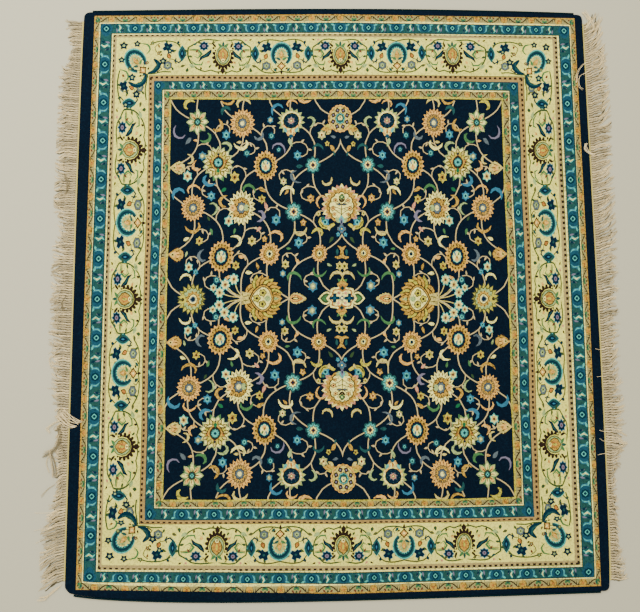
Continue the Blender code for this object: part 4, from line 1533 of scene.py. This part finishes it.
def fringeStrands(side, material):
    rng = random.Random(7 if side == "left" else 11)
    drifts = np.interp(np.arange(fringe["tassels"]), np.arange(0, fringe["tassels"] + 5, 5),
                       [rng.uniform(-1, 1) for _ in range(0, fringe["tassels"] + 5, 5)])
    verts, faces, tones = [], [], []
    start, count = selvedge["cornerShare"], fringe["tassels"]
    outwards = 1 if side == "right" else -1

    def add(path, width, tone):
        before = len(faces)
        strand(verts, faces, path, width)
        tones.extend([tone] * (len(faces) - before))
    for index in range(count):
        fromTop = start + (1 - 2 * start) * (index + 0.5) / count
        share = 1 - fromTop if side == "right" else fromTop
        length, lean = layAt(side, fromTop)
        length *= 1 + 0.16 * rng.uniform(-1, 1)
        sway = 0.014 * drifts[index] + 0.005 * rng.uniform(-1, 1)
        phase = 3 * drifts[index] + rng.uniform(-0.6, 0.6)
        curl = fringe["curl"] * (0.9 + 0.5 * drifts[(index + 40) % count])
        hook = 0.010 * rng.uniform(-1, 1)
        shade = rng.uniform(0.56, 1.1)
        for k in range(fringe["strands"]):
            rootX, rootY = sidePoint(side, share, fringe["comb"] + 0.0002)
            rootY += 0.0017 * (k - (fringe["strands"] - 1) / 2) - (0.0017 if k == 0 else 0)
            # The first strand of each tassel is wide, short and near black, laid low beside the others:
            # painted shadow in the gaps between strands
            dark = k == 0
            own = length * (1.06 - 0.14 * rng.random()) * (0.8 if dark else 1)
            own *= 1.2 if rng.random() < 0.07 else 1
            tipX = rootX + outwards * own
            if abs(tipX) > fringe["reach"]:
                tipX = outwards * (fringe["reach"] - 0.004 * rng.random())
            own = abs(tipX - rootX)
            drift, own2 = 0.003 * rng.uniform(-1, 1) * (k > 0), rng.uniform(-0.5, 0.5)
            path = []
            for step in range(fringe["steps"] + 1):
                part = step / fringe["steps"]
                late = max(part - 0.7, 0) / 0.3
                x = rootX + outwards * own * (part - 0.06 * late**2)
                y = rootY + lean * part**1.5 + sway * part * part + drift * part**2 + hook * late**2
                y += (curl * math.sin(6.5 * part + phase) * part
                      + 0.0014 * math.sin(21 * part + 1.7 * k + own2))
                z = (0.0014 + 0.0009 * k * (0.6 + 0.4 * math.sin(9 * part + k + phase))
                     + 0.0012 * math.sin(3.14 * part))
                path.append((x, y, 0.0017 if dark else z))
            # Tone 0.1 darkens the painted shadow strand; the others vary at random per tassel and per
            # strand
            tone = 0.1 if dark else shade * rng.uniform(0.75, 1.12)
            add(path, fringe["strandWidth"] * (2.3 if dark else 1), tone)
    for straySide, number, tone, width, height, points in fringe["strays"]:
        for k in range(number if straySide == side else 0):
            shift = 0.0024 * (k - (number - 1) / 2)
            bent = [(x + shift + 0.004 * rng.uniform(-1, 1) * (i > 0), y + shift
                     + 0.006 * rng.uniform(-1, 1) * (i > 0))
                    for i, (x, y) in enumerate(points)]
            line = smooth([(x * 100, y * 100) for x, y in bent], 0.7)
            path = [(x / 100, y / 100, height + 0.0008 * (k % 3)) for x, y in line]
            add(path, width, tone * rng.uniform(0.85, 1.1))
    made = meshObject("fringe_strands_" + side, verts, faces, material)
    fixNormals(made)
    colourLayer(made.data, "dye", np.outer(tones, fringe["colour"]))
    print("fringe", side, len(faces), "faces")
    return made


drawGuards()
drawMain()
drawVines()
drawScrolls()
drawFlowers()
print("chart:", len(chart), "outlines")

yarn = yarnGroup()
drawing = drawingGroup()
woolPile = yarnMaterial("woolPile", yarn, attribute="dye", scale=420, amount=0.9, bump=0.35,
                        distance=0.0012, drawing=drawing)
selvedgeWool = yarnMaterial("selvedgeWool", yarn, colour=(0.0027, 0.0118, 0.0150), scale=500, amount=0.8)
kilimCotton = yarnMaterial("kilimCotton", yarn, colour=(0.495, 0.405, 0.116), scale=500, amount=0.6)
fringeCotton = yarnMaterial("fringeCotton", yarn, attribute="dye", scale=300, amount=0.7)

pileRug = pileSheet()
pileRug.data.materials.append(woolPile)
wraps = [wrappedCord(side, selvedgeWool) for side in ("top", "bottom")]
weaves = [kilimBand(side, kilimCotton) for side in ("left", "right")]
fringes = [fringeStrands(side, fringeCotton) for side in ("left", "right")]
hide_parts("pile_rug")
for piece, side in zip(wraps, ("top", "bottom")):
    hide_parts("selvedge_" + side)
for piece, side in zip(weaves, ("left", "right")):
    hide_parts("kilim_end_" + side)
for piece, side in zip(fringes, ("left", "right")):
    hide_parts("fringe_" + side)
pieces = [pileRug] + wraps + weaves + fringes
for piece in pieces:
    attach(piece, "root")

studio = {
    "floor": (0.46, 0.43, 0.29),
    "keyPower": 370.0,
    "keySize": 5.0,
    "worldLight": 1.2,
}
floorMesh = bpy.data.meshes.new("floor")
bm = bmesh.new()
bmesh.ops.create_grid(bm, x_segments=1, y_segments=1, size=5)
bm.to_mesh(floorMesh)
bm.free()
floor = bpy.data.objects.new("floor", floorMesh)
bpy.context.scene.collection.objects.link(floor)
floorPaint = bpy.data.materials.new("floorPaint")
floorPaint.use_nodes = True
floorPaint.node_tree.nodes["Principled BSDF"].inputs["Base Color"].default_value = (*studio["floor"], 1)
floorPaint.node_tree.nodes["Principled BSDF"].inputs["Roughness"].default_value = 0.7
floorMesh.materials.append(floorPaint)

key = bpy.data.lights.new("key", "AREA")
key.energy = studio["keyPower"]
key.size = studio["keySize"]
keyObject = bpy.data.objects.new("key", key)
keyObject.location = (-1.6, 2.2, 4.2)
keyObject.rotation_euler = (Vector((0, 0, 0)) - keyObject.location).to_track_quat("-Z", "Y").to_euler()
bpy.context.scene.collection.objects.link(keyObject)
world = bpy.data.worlds.new("studio")
world.use_nodes = True
world.node_tree.nodes["Background"].inputs["Color"].default_value = (1.0, 0.98, 0.94, 1)
world.node_tree.nodes["Background"].inputs["Strength"].default_value = studio["worldLight"]
bpy.context.scene.world = world

camera = bpy.data.cameras.new("camera")
camera.lens = 35
camera.sensor_width = 36
cameraObject = bpy.data.objects.new("camera", camera)
cameraObject.location = (-0.101, -0.3545, 2.903)
cameraObject.rotation_euler = [math.radians(a) for a in (5.646, -0.489, -0.128)]
bpy.context.scene.collection.objects.link(cameraObject)
bpy.context.scene.camera = cameraObject
